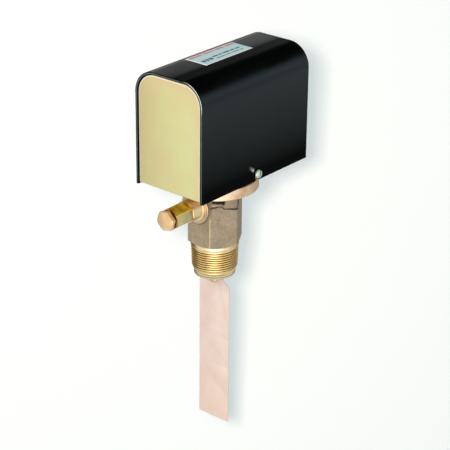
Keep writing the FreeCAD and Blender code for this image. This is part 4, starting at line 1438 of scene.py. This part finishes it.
# ------------------------------------------------------------------------------ body of the switch
@dataclass
class PipeBody:
    """Red brass body: turned and threaded pipe end, sand-cast hexagon, turned flange and side boss."""

    nose_low: float = -6.0
    nose_r: float = 18.5
    bore_r: float = 14.5
    thread_end: float = 22.0
    hex_low: float = 27.0
    hex_top: float = 68.0
    flange_low: float = 79.0
    flange_top: float = 90.6
    spigot_top: float = 94.2
    spigot_r: float = 17.0
    throat_r: float = 10.5
    crest_r: float = 20.5
    taper: float = 1.0 / 32.0
    pitch: float = 25.4 / 11.5
    thread_depth: float = 1.45
    lead_low: float = -1.8
    lead_high: float = 2.8
    runout_r: float = 21.6
    apothem: float = 22.225
    corner_power: float = 60.0
    neck_r: float = 23.9
    flange_r: float = 38.4
    rim_top: float = 88.7
    pad_r: float = 34.0
    boss_r: float = 15.3
    boss_face: float = -27.2
    boss_hole_r: float = 7.5
    boss_fillet: float = 3.6
    boss_spread: float = 48.0
    ring_proud: float = 0.3
    barrel_z: float = 65.5
    chamfer_r: float = 22.86
    chamfer_slope: float = 1.65
    row_height: float = 0.22
    ledge: tuple[tuple[float, float], ...] = (
        (190.0, 68.0), (205.0, 67.6), (214.0, 67.4), (222.0, 67.3), (229.0, 68.1),
        (236.5, 67.4), (239.0, 66.0), (242.0, 64.9), (246.0, 65.1), (256.0, 64.2),
        (266.0, 63.3), (275.0, 63.1), (279.0, 65.0), (284.0, 67.8), (300.0, 68.0))
    # The gap cast into the neck above the ledge: where it starts and ends in degrees about Z, its height at
    # slot_at and how that falls per degree, its half height, its depth, and the notch at its far end.
    slot_start: float = 213.5
    slot_end: float = 243.0
    slot_z: float = 71.3
    slot_at: float = 218.0
    slot_fall: float = 0.03
    slot_half: float = 1.6
    slot_depth: float = 2.6
    hook: tuple[float, float] = (236.5, 241.5)
    hook_drop: float = 0.7
    # A band of painted shade where the neck turns away, in degrees about Z.
    neck_corner_shade: tuple[float, float] = (275.0, 281.0)
    grid: tuple[int, int] = (150, 480)

    def build_pipe_end(self) -> bpy.types.Object:
        """Makes the nose, the lead chamfer, the taper thread, the plain turned length and the bore.

        Returns:
            The finished pipe end.
        """
        outer = [(self.nose_r - 0.9, self.nose_low), (self.nose_r - 0.25, self.nose_low + 0.25),
                 (self.nose_r, self.nose_low + 0.9), (self.nose_r, self.lead_low - 0.2),
                 (self.nose_r + 0.15, self.lead_low)]
        z = self.lead_low + self.row_height
        while z < self.thread_end + 0.6:
            chamfer = self.nose_r + 0.15 + (z - self.lead_low) * (self.crest_r - self.nose_r - 0.1) / (
                self.lead_high - self.lead_low)
            outer.append((min(chamfer, self.crest_r + z * self.taper), z))
            z += self.row_height
        outer += [(self.runout_r - 0.15, self.thread_end + 0.7), (self.runout_r, self.thread_end + 0.95),
                  (self.runout_r, self.hex_low + 1.0), (self.bore_r, self.hex_low + 1.0)]
        inner = [(self.bore_r, self.nose_low + 1.0), (self.bore_r + 0.3, self.nose_low + 0.25),
                 (self.bore_r + 0.9, self.nose_low)]
        item = turned("body_pipe_end", outer + inner, steps=144)
        THREAD.run(item, THREAD_BRASS, pitch=self.pitch * MM, depth=self.thread_depth * MM,
                   start=(self.lead_low + 0.4) * MM, end=(self.thread_end + 0.3) * MM,
                   crest=(self.crest_r + (self.lead_low + 0.4) * self.taper) * MM, taper=self.taper)
        return item

    def hex_radius(self, angle: float) -> float:
        """Gives the hexagon's radius at an angle, its corners slightly rounded.

        Args:
            angle: degrees about Z.

        Returns:
            The radius in millimetres.
        """
        total = sum(abs(math.cos(math.radians(angle - 60.0 * k))) ** self.corner_power for k in range(3))
        return self.apothem / total ** (1.0 / self.corner_power)

    def ledge_height(self, angle: float) -> float:
        """Gives the uneven height at which the hexagon ends under the cast neck.

        Args:
            angle: degrees about Z.

        Returns:
            The height in millimetres.
        """
        for (start, low), (end, high) in zip(self.ledge, self.ledge[1:]):
            if start <= angle < end:
                return low + (high - low) * (angle - start) / (end - start)
        return self.hex_top

    def boss_swell(self, angle: float, z: float) -> tuple[float, float, float]:
        """Gives the side boss's share of the casting.

        Args:
            angle: degrees about Z.
            z: height in millimetres.

        Returns:
            Radius of the boss's face, share of the boss from 0 to 1, and shade of its rim from 0 to 1.
        """
        off = angle - 180.0
        if abs(off) > self.boss_spread:
            return 0.0, 0.0, 0.0
        reach = -self.boss_face - self.ring_proud
        across = reach * math.tan(math.radians(off))
        beyond = math.hypot(across, z - self.barrel_z) - self.boss_r
        share = (1.0 - min(max(beyond / self.boss_fillet, 0.0), 1.0)) ** 2
        rim = smoothstep(0.75, 0.25, abs(beyond + 0.15))
        return reach / math.cos(math.radians(off)), share, rim

    def between(self, angle: float, start: float, end: float, fade: float) -> float:
        """Gives 1 between two angles and fades to 0 at each."""
        return smoothstep(start, start + fade, angle) * smoothstep(end, end - fade, angle)

    def skin(self, angle: float, z: float) -> tuple[float, float, float]:
        """Gives the casting's outside at an angle and a height.

        Args:
            angle: degrees about Z.
            z: height in millimetres.

        Returns:
            Radius in millimetres, wear from 0 to 1, and shade of a recess from 0 to 1.
        """
        if z < self.hex_low:
            return self.runout_r - 0.9, 0.0, 0.0
        corner_off = abs(angle % 60.0 - 30.0)
        wear = smoothstep(1.5, 0.2, corner_off) * (0.8 if angle < 260.0 else 0.2)
        low_chamfer = self.chamfer_r + (z - self.hex_low) * self.chamfer_slope
        radius = min(self.hex_radius(angle), low_chamfer)
        ledge = self.ledge_height(angle)
        shade = 0.0
        if z > ledge:
            radius = self.neck_r
            wear = 0.0
            middle = self.slot_z - self.slot_fall * (angle - self.slot_at)
            hook = self.between(angle, *self.hook, 1.0) * self.hook_drop
            away = abs(z - middle + hook * 0.5) - hook * 0.5
            inside = smoothstep(self.slot_half, self.slot_half - 0.35, away)
            # The slot is cut in and also takes painted shade; the band where the neck turns away is painted
            # shade alone.
            shade = self.between(angle, self.slot_start, self.slot_end, 2.0) * inside
            radius -= self.slot_depth * shade
            shade = max(shade, 0.85 * self.between(angle, *self.neck_corner_shade, 1.5))
        elif 212.0 < angle < 286.0:
            # Painted shade in a band under the neck's overhang.
            shade = smoothstep(1.9, 0.9, ledge - z)
        face, share, rim = self.boss_swell(angle, z)
        if face > radius:
            radius += (face - radius) * share
            wear *= 1.0 - min(1.6 * share, 1.0)
            # Painted shade round the boss's rim.
            shade = max(shade, 0.75 * rim)
        return radius, wear, shade

    def build_casting(self) -> bpy.types.Object:
        """Makes the rough hexagon, boss and neck with worn corners and an uneven shoulder.

        Returns:
            The finished casting.
        """
        rows, columns = self.grid
        bottom, top = self.hex_low - 4.0, self.flange_low + 0.5
        points: list[Point] = []
        wear: list[float] = []
        recess: list[float] = []
        for row in range(rows + 1):
            z = bottom + (top - bottom) * row / rows
            for column in range(columns):
                degrees = 360.0 * column / columns
                radius, worn, shade = self.skin(degrees, z)
                angle = math.radians(degrees)
                rough = 0.07 * math.sin(7.0 * angle + 0.31 * z) * math.sin(0.9 * z + 3.0 * angle)
                rough += 0.05 * math.sin(23.0 * angle + 1.7 * z)
                radius += rough - 0.1 if z > self.hex_low else 0.0
                points.append((radius * math.cos(angle), radius * math.sin(angle), z))
                wear.append(worn)
                recess.append(shade)
        faces = grid_faces(rows, columns, closed=True)
        inner_r = self.bore_r + 0.5
        for z in (bottom, top):
            for column in range(columns):
                angle = 2.0 * math.pi * column / columns
                points.append((inner_r * math.cos(angle), inner_r * math.sin(angle), z))
                wear.append(0.0)
                recess.append(0.0)
        lower, upper = (rows + 1) * columns, (rows + 2) * columns
        last = rows * columns
        for c in range(columns):
            n = (c + 1) % columns
            faces += [(c, n, lower + n, lower + c), (last + c, last + n, upper + n, upper + c),
                      (lower + c, lower + n, upper + n, upper + c)]
        item = mesh_object("body_casting_skin", points, faces)
        self.paint(item, "wear", points, wear)
        self.paint(item, "recess", points, recess)
        return dress(item, CAST_BRASS)

    def paint(self, item: bpy.types.Object, label: str, points: Sequence[Point],
              values: Sequence[float]) -> None:
        """Stores a value for each corner of a mesh that was made from the same points.

        Args:
            item: the piece.
            label: what the value is stored under.
            points: the points that it was made from, in millimetres.
            values: a value for each point.
        """
        layer = item.data.attributes.new(label, "FLOAT", "POINT")
        if len(values) == len(item.data.vertices):
            layer.data.foreach_set("value", list(values))
            return
        known = {tuple(round(c, 3) for c in p): v for p, v in zip(points, values)}
        for index, vertex in enumerate(item.data.vertices):
            key = tuple(round(c / MM, 3) for c in vertex.co)
            layer.data[index].value = known.get(key, 0.0)

    def build_flange(self) -> bpy.types.Object:
        """Makes the turned flange with its raised pad, spigot and throat.

        Returns:
            The finished flange.
        """
        throat, spigot = self.throat_r, self.spigot_r
        outline = rounded([(throat, self.flange_low - 1.0), (self.neck_r - 1.0, self.flange_low - 1.0),
                           (self.neck_r - 1.0, self.flange_low), (self.flange_r, self.flange_low),
                           (self.flange_r, self.rim_top), (self.pad_r, self.rim_top),
                           (self.pad_r, self.flange_top), (spigot, self.flange_top),
                           (spigot, self.spigot_top), (throat, self.spigot_top)], 0.7)
        return dress(turned("body_flange", outline, steps=192), TURNED_FLANGE)

    def build_boss_ring(self) -> bpy.types.Object:
        """Makes the faced ring on the side boss, under the range barrel's collar.

        Returns:
            The finished ring.
        """
        reach, hole = -self.boss_face, self.boss_hole_r
        outline = [(hole, reach - 2.0), (self.boss_r - 0.4, reach - 2.0), (self.boss_r - 0.4, reach - 0.35),
                   (self.boss_r - 0.75, reach), (self.boss_r - 2.2, reach), (self.boss_r - 2.35, reach - 0.2),
                   (self.boss_r - 2.5, reach), (hole, reach)]
        item = turned("body_boss_ring", outline, Axis.MINUS_X, 96, (0.0, 0.0, self.barrel_z))
        return dress(item, TURNED_BOSS)

    def build(self) -> None:
        """Builds and seats the body's four forms."""
        for form, slot in ((self.build_casting, "cast_brass"), (self.build_pipe_end, "turned_brass"),
                           (self.build_flange, "cast_brass"), (self.build_boss_ring, "cast_brass")):
            seat(form(), Body.HOUSING, slot, "body_casting")


# ------------------------------------------------------------------------------ fasteners
class Drive(Enum):
    """What a fastener's head is driven by."""

    SLOT = "slot"
    HEXAGON = "hexagon"


@dataclass(frozen=True)
class Fastener:
    """A set of equal screws that stands for one node."""

    node: str
    body: Body
    slot: str
    finish: Finish
    drive: Drive
    radius: float
    length: float
    places: tuple[Point, ...]
    direction: Axis
    spin: float = 3.0
    name: str = ""
    # Proportions of a head, as shares of the shank's radius.
    dome_r: float = 1.65
    dome_foot: float = 0.45
    dome_rise: float = 0.7
    cut_half: float = 0.28
    cut_floor: float = 0.35
    # Height up to which the slot takes painted shade.
    slot_shade_top: float = 0.8
    hex_r: float = 1.92
    hex_rows: tuple[tuple[float, float], ...] = (
        (0.0, 1.0), (0.12, 1.0), (1.25, 1.0), (1.42, 0.9), (1.42, 0.0))

    def head(self) -> bpy.types.Object:
        """Makes one screw that stands on Z with its head's seat at the origin.

        Returns:
            The screw.
        """
        item = self.slotted_head() if self.drive is Drive.SLOT else self.hexagon_head()
        soften(item, 0.06 * self.radius, segments=2, angle=40.0)
        return settle(item)

    def carve(self, item: bpy.types.Object, tool: bpy.types.Object, operation: str) -> None:
        """Cuts or joins a second solid and removes it.

        Args:
            item: the solid that stays.
            tool: the second solid.
            operation: DIFFERENCE or UNION.
        """
        add_modifier(item, "BOOLEAN", object=tool, operation=operation, solver="EXACT")
        settle(item)
        bpy.data.objects.remove(tool)

    def slotted_head(self) -> bpy.types.Object:
        """Makes a domed head with a driver slot, whose painted shade is stored as its recess.

        Returns:
            The screw, its edges still sharp.
        """
        r = self.radius
        crown = [(self.dome_r * r * math.cos(a), self.dome_foot * r + self.dome_rise * r * math.sin(a))
                 for a in (math.pi / 2 * i / 8 for i in range(9))]
        outline = [(0.0, -self.length), (0.75 * r, -self.length), (r, -self.length + 0.4 * r), (r, 0.0),
                   (1.5 * r, 0.0), (self.dome_r * r, 0.12 * r)] + crown
        item = turned(self.node + "_head", outline, steps=40)
        half = self.cut_half * r
        reach, floor = 2 * r, self.cut_floor * r
        points = [(x, y, z) for x in (-reach, reach) for y in (-half, half) for z in (floor, reach)]
        box = [(0, 1, 3, 2), (4, 6, 7, 5), (0, 4, 5, 1), (2, 3, 7, 6), (0, 2, 6, 4), (1, 5, 7, 3)]
        self.carve(item, mesh_object(self.node + "_cutter", points, box), "DIFFERENCE")
        # Painted shade: the slot's walls and floor are marked as recess, for the finish to darken.
        top = self.slot_shade_top * r * MM
        slot_shaded = [1.0 if abs(v.co.y) < 1.02 * half * MM and 0.0 < v.co.z < top else 0.0
                 for v in item.data.vertices]
        item.data.attributes.new("recess", "FLOAT", "POINT").data.foreach_set("value", slot_shaded)
        return item

    def hexagon_head(self) -> bpy.types.Object:
        """Makes a hexagon head with a domed top over a plain shank.

        Returns:
            The screw, its edges still sharp.
        """
        r = self.radius
        reach = self.hex_r * r
        points: list[Point] = []
        for z, share in self.hex_rows:
            for corner in range(6):
                a = math.radians(60.0 * corner)
                points.append((reach * share * math.cos(a), reach * share * math.sin(a), z * r))
        faces = [tuple(range(5, -1, -1))] + grid_faces(len(self.hex_rows) - 1, 6, closed=True)
        item = mesh_object(self.node + "_head", points, faces)
        outline = [(0.0, -self.length), (r, -self.length), (r, 0.1), (0.0, 0.1)]
        self.carve(item, turned(self.node + "_shank", outline, steps=32), "UNION")
        return item

    def build(self) -> None:
        """Sets the screws on their places and seats them as one piece."""
        part = self.head()
        item = marks(self.name or self.node + "_set", self.places)
        FASTENERS.run(item, self.finish, part=part, direction=self.direction.value, spin=self.spin)
        bpy.data.objects.remove(part)
        seat(item, self.body, self.slot, self.node)


def box_centres(node: str, direction: Axis, seat_at: float, count: int, along: str,
                pitch: float) -> tuple[Point, ...]:
    """Lists the seats of a row of equal fasteners from the box of their node.

    Args:
        node: node of the fasteners.
        direction: where their heads point.
        seat_at: the seats' place along the direction's axis, in millimetres.
        count: how many there are.
        along: letter of the axis that the row runs along.
        pitch: distance between neighbours in millimetres.

    Returns:
        One seat for each fastener.
    """
    low, high = span(node)
    middle = (low + high) * 0.5
    letters = "xyz"
    across = letters[max(range(3), key=lambda i: abs(direction.value[i]))]
    seats = []
    for i in range(count):
        place = middle.copy()
        setattr(place, across, seat_at)
        setattr(place, along, getattr(middle, along) + (i - (count - 1) / 2.0) * pitch)
        seats.append(tuple(place))
    return tuple(seats)


# ------------------------------------------------------------------------------ inner works
@dataclass
class InnerWorks:
    """Range spring and bellows, which the solids only give as plain stand-ins."""

    bellows_bottom: float = 97.2
    bellows_top: float = 117.2
    bellows_mean_r: float = 11.7
    bellows_swing: float = 1.6
    bellows_folds: int = 6
    wall: float = 0.35
    wire_r: float = 0.55
    spring_turns: float = 6.5
    spring_hand: int = -1

    def build_bellows(self) -> bpy.types.Object:
        """Makes the formed metal bellows between its two cuffs.

        Returns:
            The finished bellows.
        """
        low, high = span("bellows")
        rows = 120
        heights = [low.z + (high.z - low.z) * i / rows for i in range(rows + 1)]
        outer = [(self.bellows_mean_r, z) for z in heights]
        inner = [(self.bellows_mean_r - self.wall, z) for z in reversed(heights)]
        item = turned("bellows_formed", outer + inner, steps=72)
        return BELLOWS.run(item, BELLOWS_BRASS, bottom=self.bellows_bottom * MM, top=self.bellows_top * MM,
                           folds=float(self.bellows_folds), swing=self.bellows_swing * MM)

    def build_spring(self) -> list[bpy.types.Object]:
        """Makes the round-wire range spring as two halves of one coil.

        Returns:
            The half at the nut and the half at the follower, which meet in the middle.
        """
        low, high = span("range_spring")
        middle = (low + high) * 0.5
        coil = (high.z - low.z) / 2.0 - self.wire_r
        length = 0.5 * (high.x - low.x - 2.0 * self.wire_r)
        turns = 0.5 * self.spring_turns
        halves = []
        for index, name in enumerate(("range_spring_nut_half", "range_spring_follower_half")):
            start = marks(name, [(low.x + self.wire_r, middle.y, middle.z)])
            item = COIL.run(start, SPRING_STEEL, turns=turns, coil=coil * MM, length=length * MM,
                            wire=self.wire_r * MM, direction=Axis.X.value)
            axis = Matrix.Translation(Vector((0.0, middle.y, middle.z)) * MM)
            turn = Matrix.Rotation(self.spring_hand * index * turns * math.tau, 4, "X")
            along = Matrix.Translation(Vector((index * length, 0.0, 0.0)) * MM)
            item.data.transform(along @ axis @ turn @ axis.inverted())
            halves.append(item)
        return halves

    def build(self) -> None:
        """Builds the bellows and the spring, and hides the solids that they stand for."""
        bellows = self.build_bellows()
        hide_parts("bellows")
        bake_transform(bellows)
        LOG.info("%s: %d faces, bends with %s", bellows.name, len(bellows.data.polygons), Body.PADDLE.value)
        low, high = span("range_spring")
        for half, end, body in zip(self.build_spring(), (low.x, high.x), (Body.NUT, Body.FOLLOWER)):
            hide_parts("range_spring")
            end * MM
            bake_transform(half)
            LOG.info("%s: %d faces, bends with %s", half.name, len(half.data.polygons), body.value)


def build_fasteners() -> None:
    """Builds every set of screws at the places that the solids give."""
    zinc = partial(Fastener, body=Body.HOUSING, slot="zinc_steel", finish=BRIGHT_ZINC, drive=Drive.SLOT)
    cover_low, cover_high = span("cover_screws")
    cover_x, cover_z = (cover_low.x + cover_high.x) / 2.0, (cover_low.z + cover_high.z) / 2.0
    skin = span("cover")[1].y + 0.05
    plate_top = span("pivot_bracket")[0].z + 2.0
    flange = tuple((x, y, plate_top) for x in (-22.0, 22.0) for y in (-20.0, 20.0))
    rows = {"switch_screws": (Axis.MINUS_Y, span("switch_body")[0].y, 2, "z", 25.4),
            "bracket_screws": (Axis.Z, span("switch_bracket")[0].z + 1.6, 2, "x", 15.6),
            "terminal_screws": (Axis.X, span("terminals")[1].x, 3, "z", 16.0),
            "paddle_screws": (Axis.X, span("paddle_clamp")[1].x, 2, "z", 9.0)}
    seats = {node: {"places": box_centres(node, *row), "direction": row[0]} for node, row in rows.items()}
    sets = [
        zinc("cover_screws", radius=2.4, length=9.0, places=((cover_x, -skin, cover_z),),
             direction=Axis.MINUS_Y, spin=1.6),
        zinc("flange_screws", drive=Drive.HEXAGON, radius=2.4, length=12.0, places=flange, direction=Axis.Z),
        zinc("switch_screws", radius=1.9, length=19.9, **seats["switch_screws"]),
        zinc("bracket_screws", radius=1.9, length=4.4, **seats["bracket_screws"]),
        zinc("terminal_screws", radius=1.75, length=5.5, **seats["terminal_screws"]),
        Fastener("paddle_screws", Body.PADDLE, "stainless_steel", STAINLESS, Drive.SLOT,
                 radius=1.75, length=5.3, **seats["paddle_screws"]),
        zinc("cover_screws", radius=2.4, length=9.0, places=((cover_x, skin, cover_z),),
             direction=Axis.Y, spin=0.6, name="cover_screw_far_side"),
    ]
    for fastener in sets:
        fastener.build()


# ------------------------------------------------------------------------------ stage
@dataclass
class Stage:
    """Camera, soft light and the pale sheet behind the switch, all set out from the camera's own axes."""

    azimuth: float = -50.143
    elevation: float = 24.612
    roll: float = 0.556
    lens: float = 132.29
    camera_place: Point = (-1017.41, -861.00, 650.19)
    sheet_behind: float = 260.0
    sheet_size: float = 1400.0
    sheet_colour: str = "#fdfefe"
    upward: tuple[tuple[float, str], ...] = (
        (-1.0, "#f2f4f2"), (0.0, "#fbfbf9"), (0.2, "#dddedd"), (0.36, "#b4b6b5"), (0.47, "#404040"),
        (0.55, "#161616"), (1.0, "#111111"))
    right_table: tuple[tuple[float, str], ...] = (
        (-1.0, "#8f8874"), (-0.75, "#a29c8c"), (-0.24, "#b9bbba"), (0.12, "#c9cac7"), (0.42, "#f4f5f2"),
        (1.0, "#f8f8f6"))
    left_table: tuple[tuple[float, str], ...] = (
        (-1.0, "#8f8874"), (-0.6, "#6a5434"), (-0.22, "#7a6034"), (0.1, "#f0efe8"), (0.42, "#f4f5f2"),
        (1.0, "#f8f8f6"))
    under: str = "#d8dedc"
    table_light: float = 0.85
    room_light: float = 0.4
    glare: float = 3.4
    glare_from: float = 0.74
    front: str = "#e9e4d8"
    daylight: str = "#e6f5f8"
    middle: Point = (0.0, 0.0, 0.05)
    # Each lamp: its name, its way backward, right and up of the middle in metres, width, watts and colour.
    lamps: tuple[tuple[str, Point, float, float, str], ...] = (
        ("key", (1.48, -0.072, 0.01), 0.11, 11.4, "#fff0e2"),
        ("window", (0.9, -1.6, 0.9), 0.9, 19.0, "#fffdf8"),
        ("fill", (0.9, 1.4, 0.2), 1.0, 2.0, "#f2f7ff"))

    def axes(self) -> tuple[Vector, Vector, Vector]:
        """Gives the camera's own directions.

        Returns:
            Right, up and backward.
        """
        a, e, r = (math.radians(v) for v in (self.azimuth, self.elevation, self.roll))
        back = Vector((math.sin(a) * math.cos(e), -math.cos(a) * math.cos(e), math.sin(e)))
        right = Vector((math.cos(a), math.sin(a), 0.0))
        up = back.cross(right)
        return right * math.cos(r) + up * math.sin(r), up * math.cos(r) - right * math.sin(r), back

    def frame_matrix(self, place: Vector, right: Vector, up: Vector, back: Vector) -> Matrix:
        """Builds the matrix of a camera that looks along minus back.

        Args:
            place: where it stands, in metres.
            right: its right.
            up: its upward direction.
            back: its backward direction.

        Returns:
            The matrix.
        """
        turn = Matrix((right, up, back)).transposed().to_4x4()
        turn.translation = place
        return turn

    def add_camera(self) -> None:
        """Adds the camera and makes it the scene's own."""
        data = bpy.data.cameras.new("view")
        data.lens = self.lens
        data.sensor_width = 36.0
        data.clip_end = 20.0
        camera = bpy.data.objects.new("view", data)
        camera.matrix_world = self.frame_matrix(Vector(self.camera_place) * MM, *self.axes())
        bpy.context.scene.collection.objects.link(camera)
        bpy.context.scene.camera = camera

    def add_lamp(self, name: str, place: Vector, aim: Vector, size: float, power: float, colour: str) -> None:
        """Adds one soft square lamp, which metal doesn't mirror because the studio round it is mirrored.

        Args:
            name: the lamp's name.
            place: where it stands, in metres.
            aim: the point that it lights, in metres.
            size: its width in metres.
            power: its power in watts.
            colour: its colour.
        """
        data = bpy.data.lights.new(name, "AREA")
        data.size = size
        data.energy = power
        data.color = linear(colour)[:3]
        lamp = bpy.data.objects.new(name, data)
        lamp.location = place
        lamp.rotation_euler = (aim - place).to_track_quat("-Z", "Y").to_euler()
        lamp.visible_glossy = False
        bpy.context.scene.collection.objects.link(lamp)

    def add_sheet(self) -> None:
        """Adds the pale sheet behind the switch, which only shows what shadow falls on it."""
        right, up, back = self.axes()
        centre = -back * self.sheet_behind
        half = self.sheet_size / 2.0
        corners = ((-half, -half), (half, -half), (half, half), (-half, half))
        points = [tuple(centre + right * x + up * y) for x, y in corners]
        item = mesh_object("pale_sheet", points, [(0, 1, 2, 3)])
        if item.data.polygons[0].normal.dot(back) < 0.0:
            item.data.flip_normals()
        material = bpy.data.materials.new("paper_matte")
        material.use_nodes = True
        tree = material.node_tree
        tree.nodes.clear()
        paper = add_node(tree, "ShaderNodeBsdfDiffuse", {"Color": linear(self.sheet_colour)})
        clear = add_node(tree, "ShaderNodeBsdfTransparent")
        facing = add_node(tree, "ShaderNodeNewGeometry").outputs["Backfacing"]
        mix = add_node(tree, "ShaderNodeMixShader", {0: facing, 1: paper.outputs[0], 2: clear.outputs[0]})
        add_node(tree, "ShaderNodeOutputMaterial", {"Surface": mix.outputs[0]})
        item.data.materials.append(material)
        item.visible_diffuse = False
        item.visible_glossy = False
        item.visible_transmission = False
        item.visible_shadow = False

    def ramp(self, value: Field, stops: Sequence[tuple[float, str]]) -> Field:
        """Lays colours along a value from -1 to 1.

        Args:
            value: the value that picks the colour.
            stops: (value, colour) in rising order.

        Returns:
            The picked colour.
        """
        node = add_node(value.tree, "ShaderNodeValToRGB", {0: value.spread(-1.0, 1.0)})
        elements = node.color_ramp.elements
        for element, (place, colour) in zip(elements, (stops[0], stops[-1])):
            element.position = (place + 1.0) / 2.0
            element.color = linear(colour)
        for place, colour in stops[1:-1]:
            elements.new((place + 1.0) / 2.0).color = linear(colour)
        return Field(value.tree, node.outputs[0])

    def mirrored_studio(self, tree: bpy.types.NodeTree) -> Field:
        """Lays what metal sees: a white table that darkens away from the viewer, and a dim room above.

        Args:
            tree: world tree.

        Returns:
            The colour of the studio in each direction.
        """
        way = add_node(tree, "ShaderNodeTexCoord").outputs["Generated"]
        height = field(tree, "ShaderNodeSeparateXYZ", {0: way}, 2)
        beside, _, back = self.axes()
        viewer = Vector((back.x, back.y, 0.0)).normalized()
        side, turn = (field(tree, "ShaderNodeVectorMath", {0: way, 1: axis}, "Value", operation="DOT_PRODUCT")
                      for axis in (viewer, beside))
        left, right = self.ramp(side, self.left_table), self.ramp(side, self.right_table)
        table = turn.spread(-0.1, 0.1).mix(left, right)
        table = height.spread(-0.5, -0.68).mix(table, self.under)
        glare = side.spread(self.glare_from, 0.92, 1.0, self.glare)
        bright = field(tree, "ShaderNodeVectorMath", {0: table, "Scale": glare}, operation="SCALE")
        below = height.spread(0.18, 0.02)
        low = below.mix(self.ramp(height, self.upward), bright)
        near = side.spread(0.2, 0.65, 0.0, 0.8)
        return (near * (1.0 - below)).mix(low, self.front)

    def add_world(self) -> None:
        """Adds the studio round the switch: white to the eye, soft daylight to matte surfaces."""
        world = bpy.data.worlds.new("studio")
        bpy.context.scene.world = world
        world.use_nodes = True
        tree = world.node_tree
        tree.nodes.clear()
        rays = add_node(tree, "ShaderNodeLightPath")
        way = add_node(tree, "ShaderNodeTexCoord").outputs["Generated"]
        height = field(tree, "ShaderNodeSeparateXYZ", {0: way}, 2)
        level = height.spread(-0.35, 0.35, self.table_light, self.room_light)
        lights = [add_node(tree, "ShaderNodeBackground", {"Color": colour, "Strength": strength}).outputs[0]
                  for colour, strength in ((linear(self.daylight), level), (self.mirrored_studio(tree), 1.0),
                                           (linear("#ffffff"), 1.0))]
        seen_through = Field(tree, rays.outputs["Is Transmission Ray"])
        glossy = Field(tree, rays.outputs["Is Glossy Ray"]).most(seen_through)
        first = add_node(tree, "ShaderNodeMixShader", {0: glossy, 1: lights[0], 2: lights[1]})
        second = add_node(tree, "ShaderNodeMixShader", {
            0: rays.outputs["Is Camera Ray"], 1: first.outputs[0], 2: lights[2]})
        add_node(tree, "ShaderNodeOutputWorld", {"Surface": second.outputs[0]})

    def build(self) -> None:
        """Builds the whole stage."""
        bpy.context.scene.view_settings.view_transform = "Standard"
        right, up, back = self.axes()
        middle = Vector(self.middle)
        self.add_camera()
        self.add_sheet()
        self.add_world()
        for name, (backward, rightward, upward), size, power, colour in self.lamps:
            place = middle + (back * backward + right * rightward + up * upward)
            self.add_lamp(name, place, middle, size, power, colour)
        LOG.info("stage: camera, lamps and sheet stand")


# ------------------------------------------------------------------------------ the whole switch
PLAIN_NODES: dict[str, tuple[Finish, float]] = {
    "housing_base": (YELLOW_ZINC, 0.3),
    "range_barrel": (BARREL_BRASS, 0.2),
    "end_cap": (TURNED_FACE, 0.2),
    "range_screw": (TURNED_ALONG, 0.0),
    "screw_retainer": (TURNED_ALONG, 0.0),
    "spring_nut": (TURNED_ALONG, 0.0),
    "spring_follower": (TURNED_ALONG, 0.0),
    "bellows_ring": (TURNED_BRASS, 0.2),
    "pivot_bracket": (STAINLESS, 0.2),
    "pivot_pins": (STAINLESS, 0.15),
    "paddle_arm": (ARM_BRASS, 0.0),
    "arm_yoke": (STAINLESS, 0.2),
    "arm_nut": (STAINLESS, 0.15),
    "paddle": (PADDLE_BRONZE, 0.12),
    "paddle_clamp": (STAINLESS, 0.15),
    "ground_screw": (GROUND_GREEN, 0.12),
    "switch_body": (PHENOLIC, 0.25),
    "switch_plunger": (NYLON, 0.0),
    "switch_lever": (STAINLESS, 0.12),
    "lever_pin": (STAINLESS, 0.1),
    "switch_bracket": (BRIGHT_ZINC, 0.2),
    "switch_insulator": (FIBRE, 0.1),
    "terminals": (TURNED_ALONG, 0.12),
}


def main() -> None:
    """Builds the stage, the pieces and the finishes."""
    logging.basicConfig(level=logging.INFO, format="%(name)s %(message)s")
    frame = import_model()
    Stage().build()
    Cover().build()
    PipeBody().build()
    InnerWorks().build()
    build_fasteners()
    for node, (finish, edge) in PLAIN_NODES.items():
        dress_node(frame, node, finish, edge)
    bpy.context.view_layer.update()
    LOG.info("sizes written")


if __name__ == "__main__":
    main()
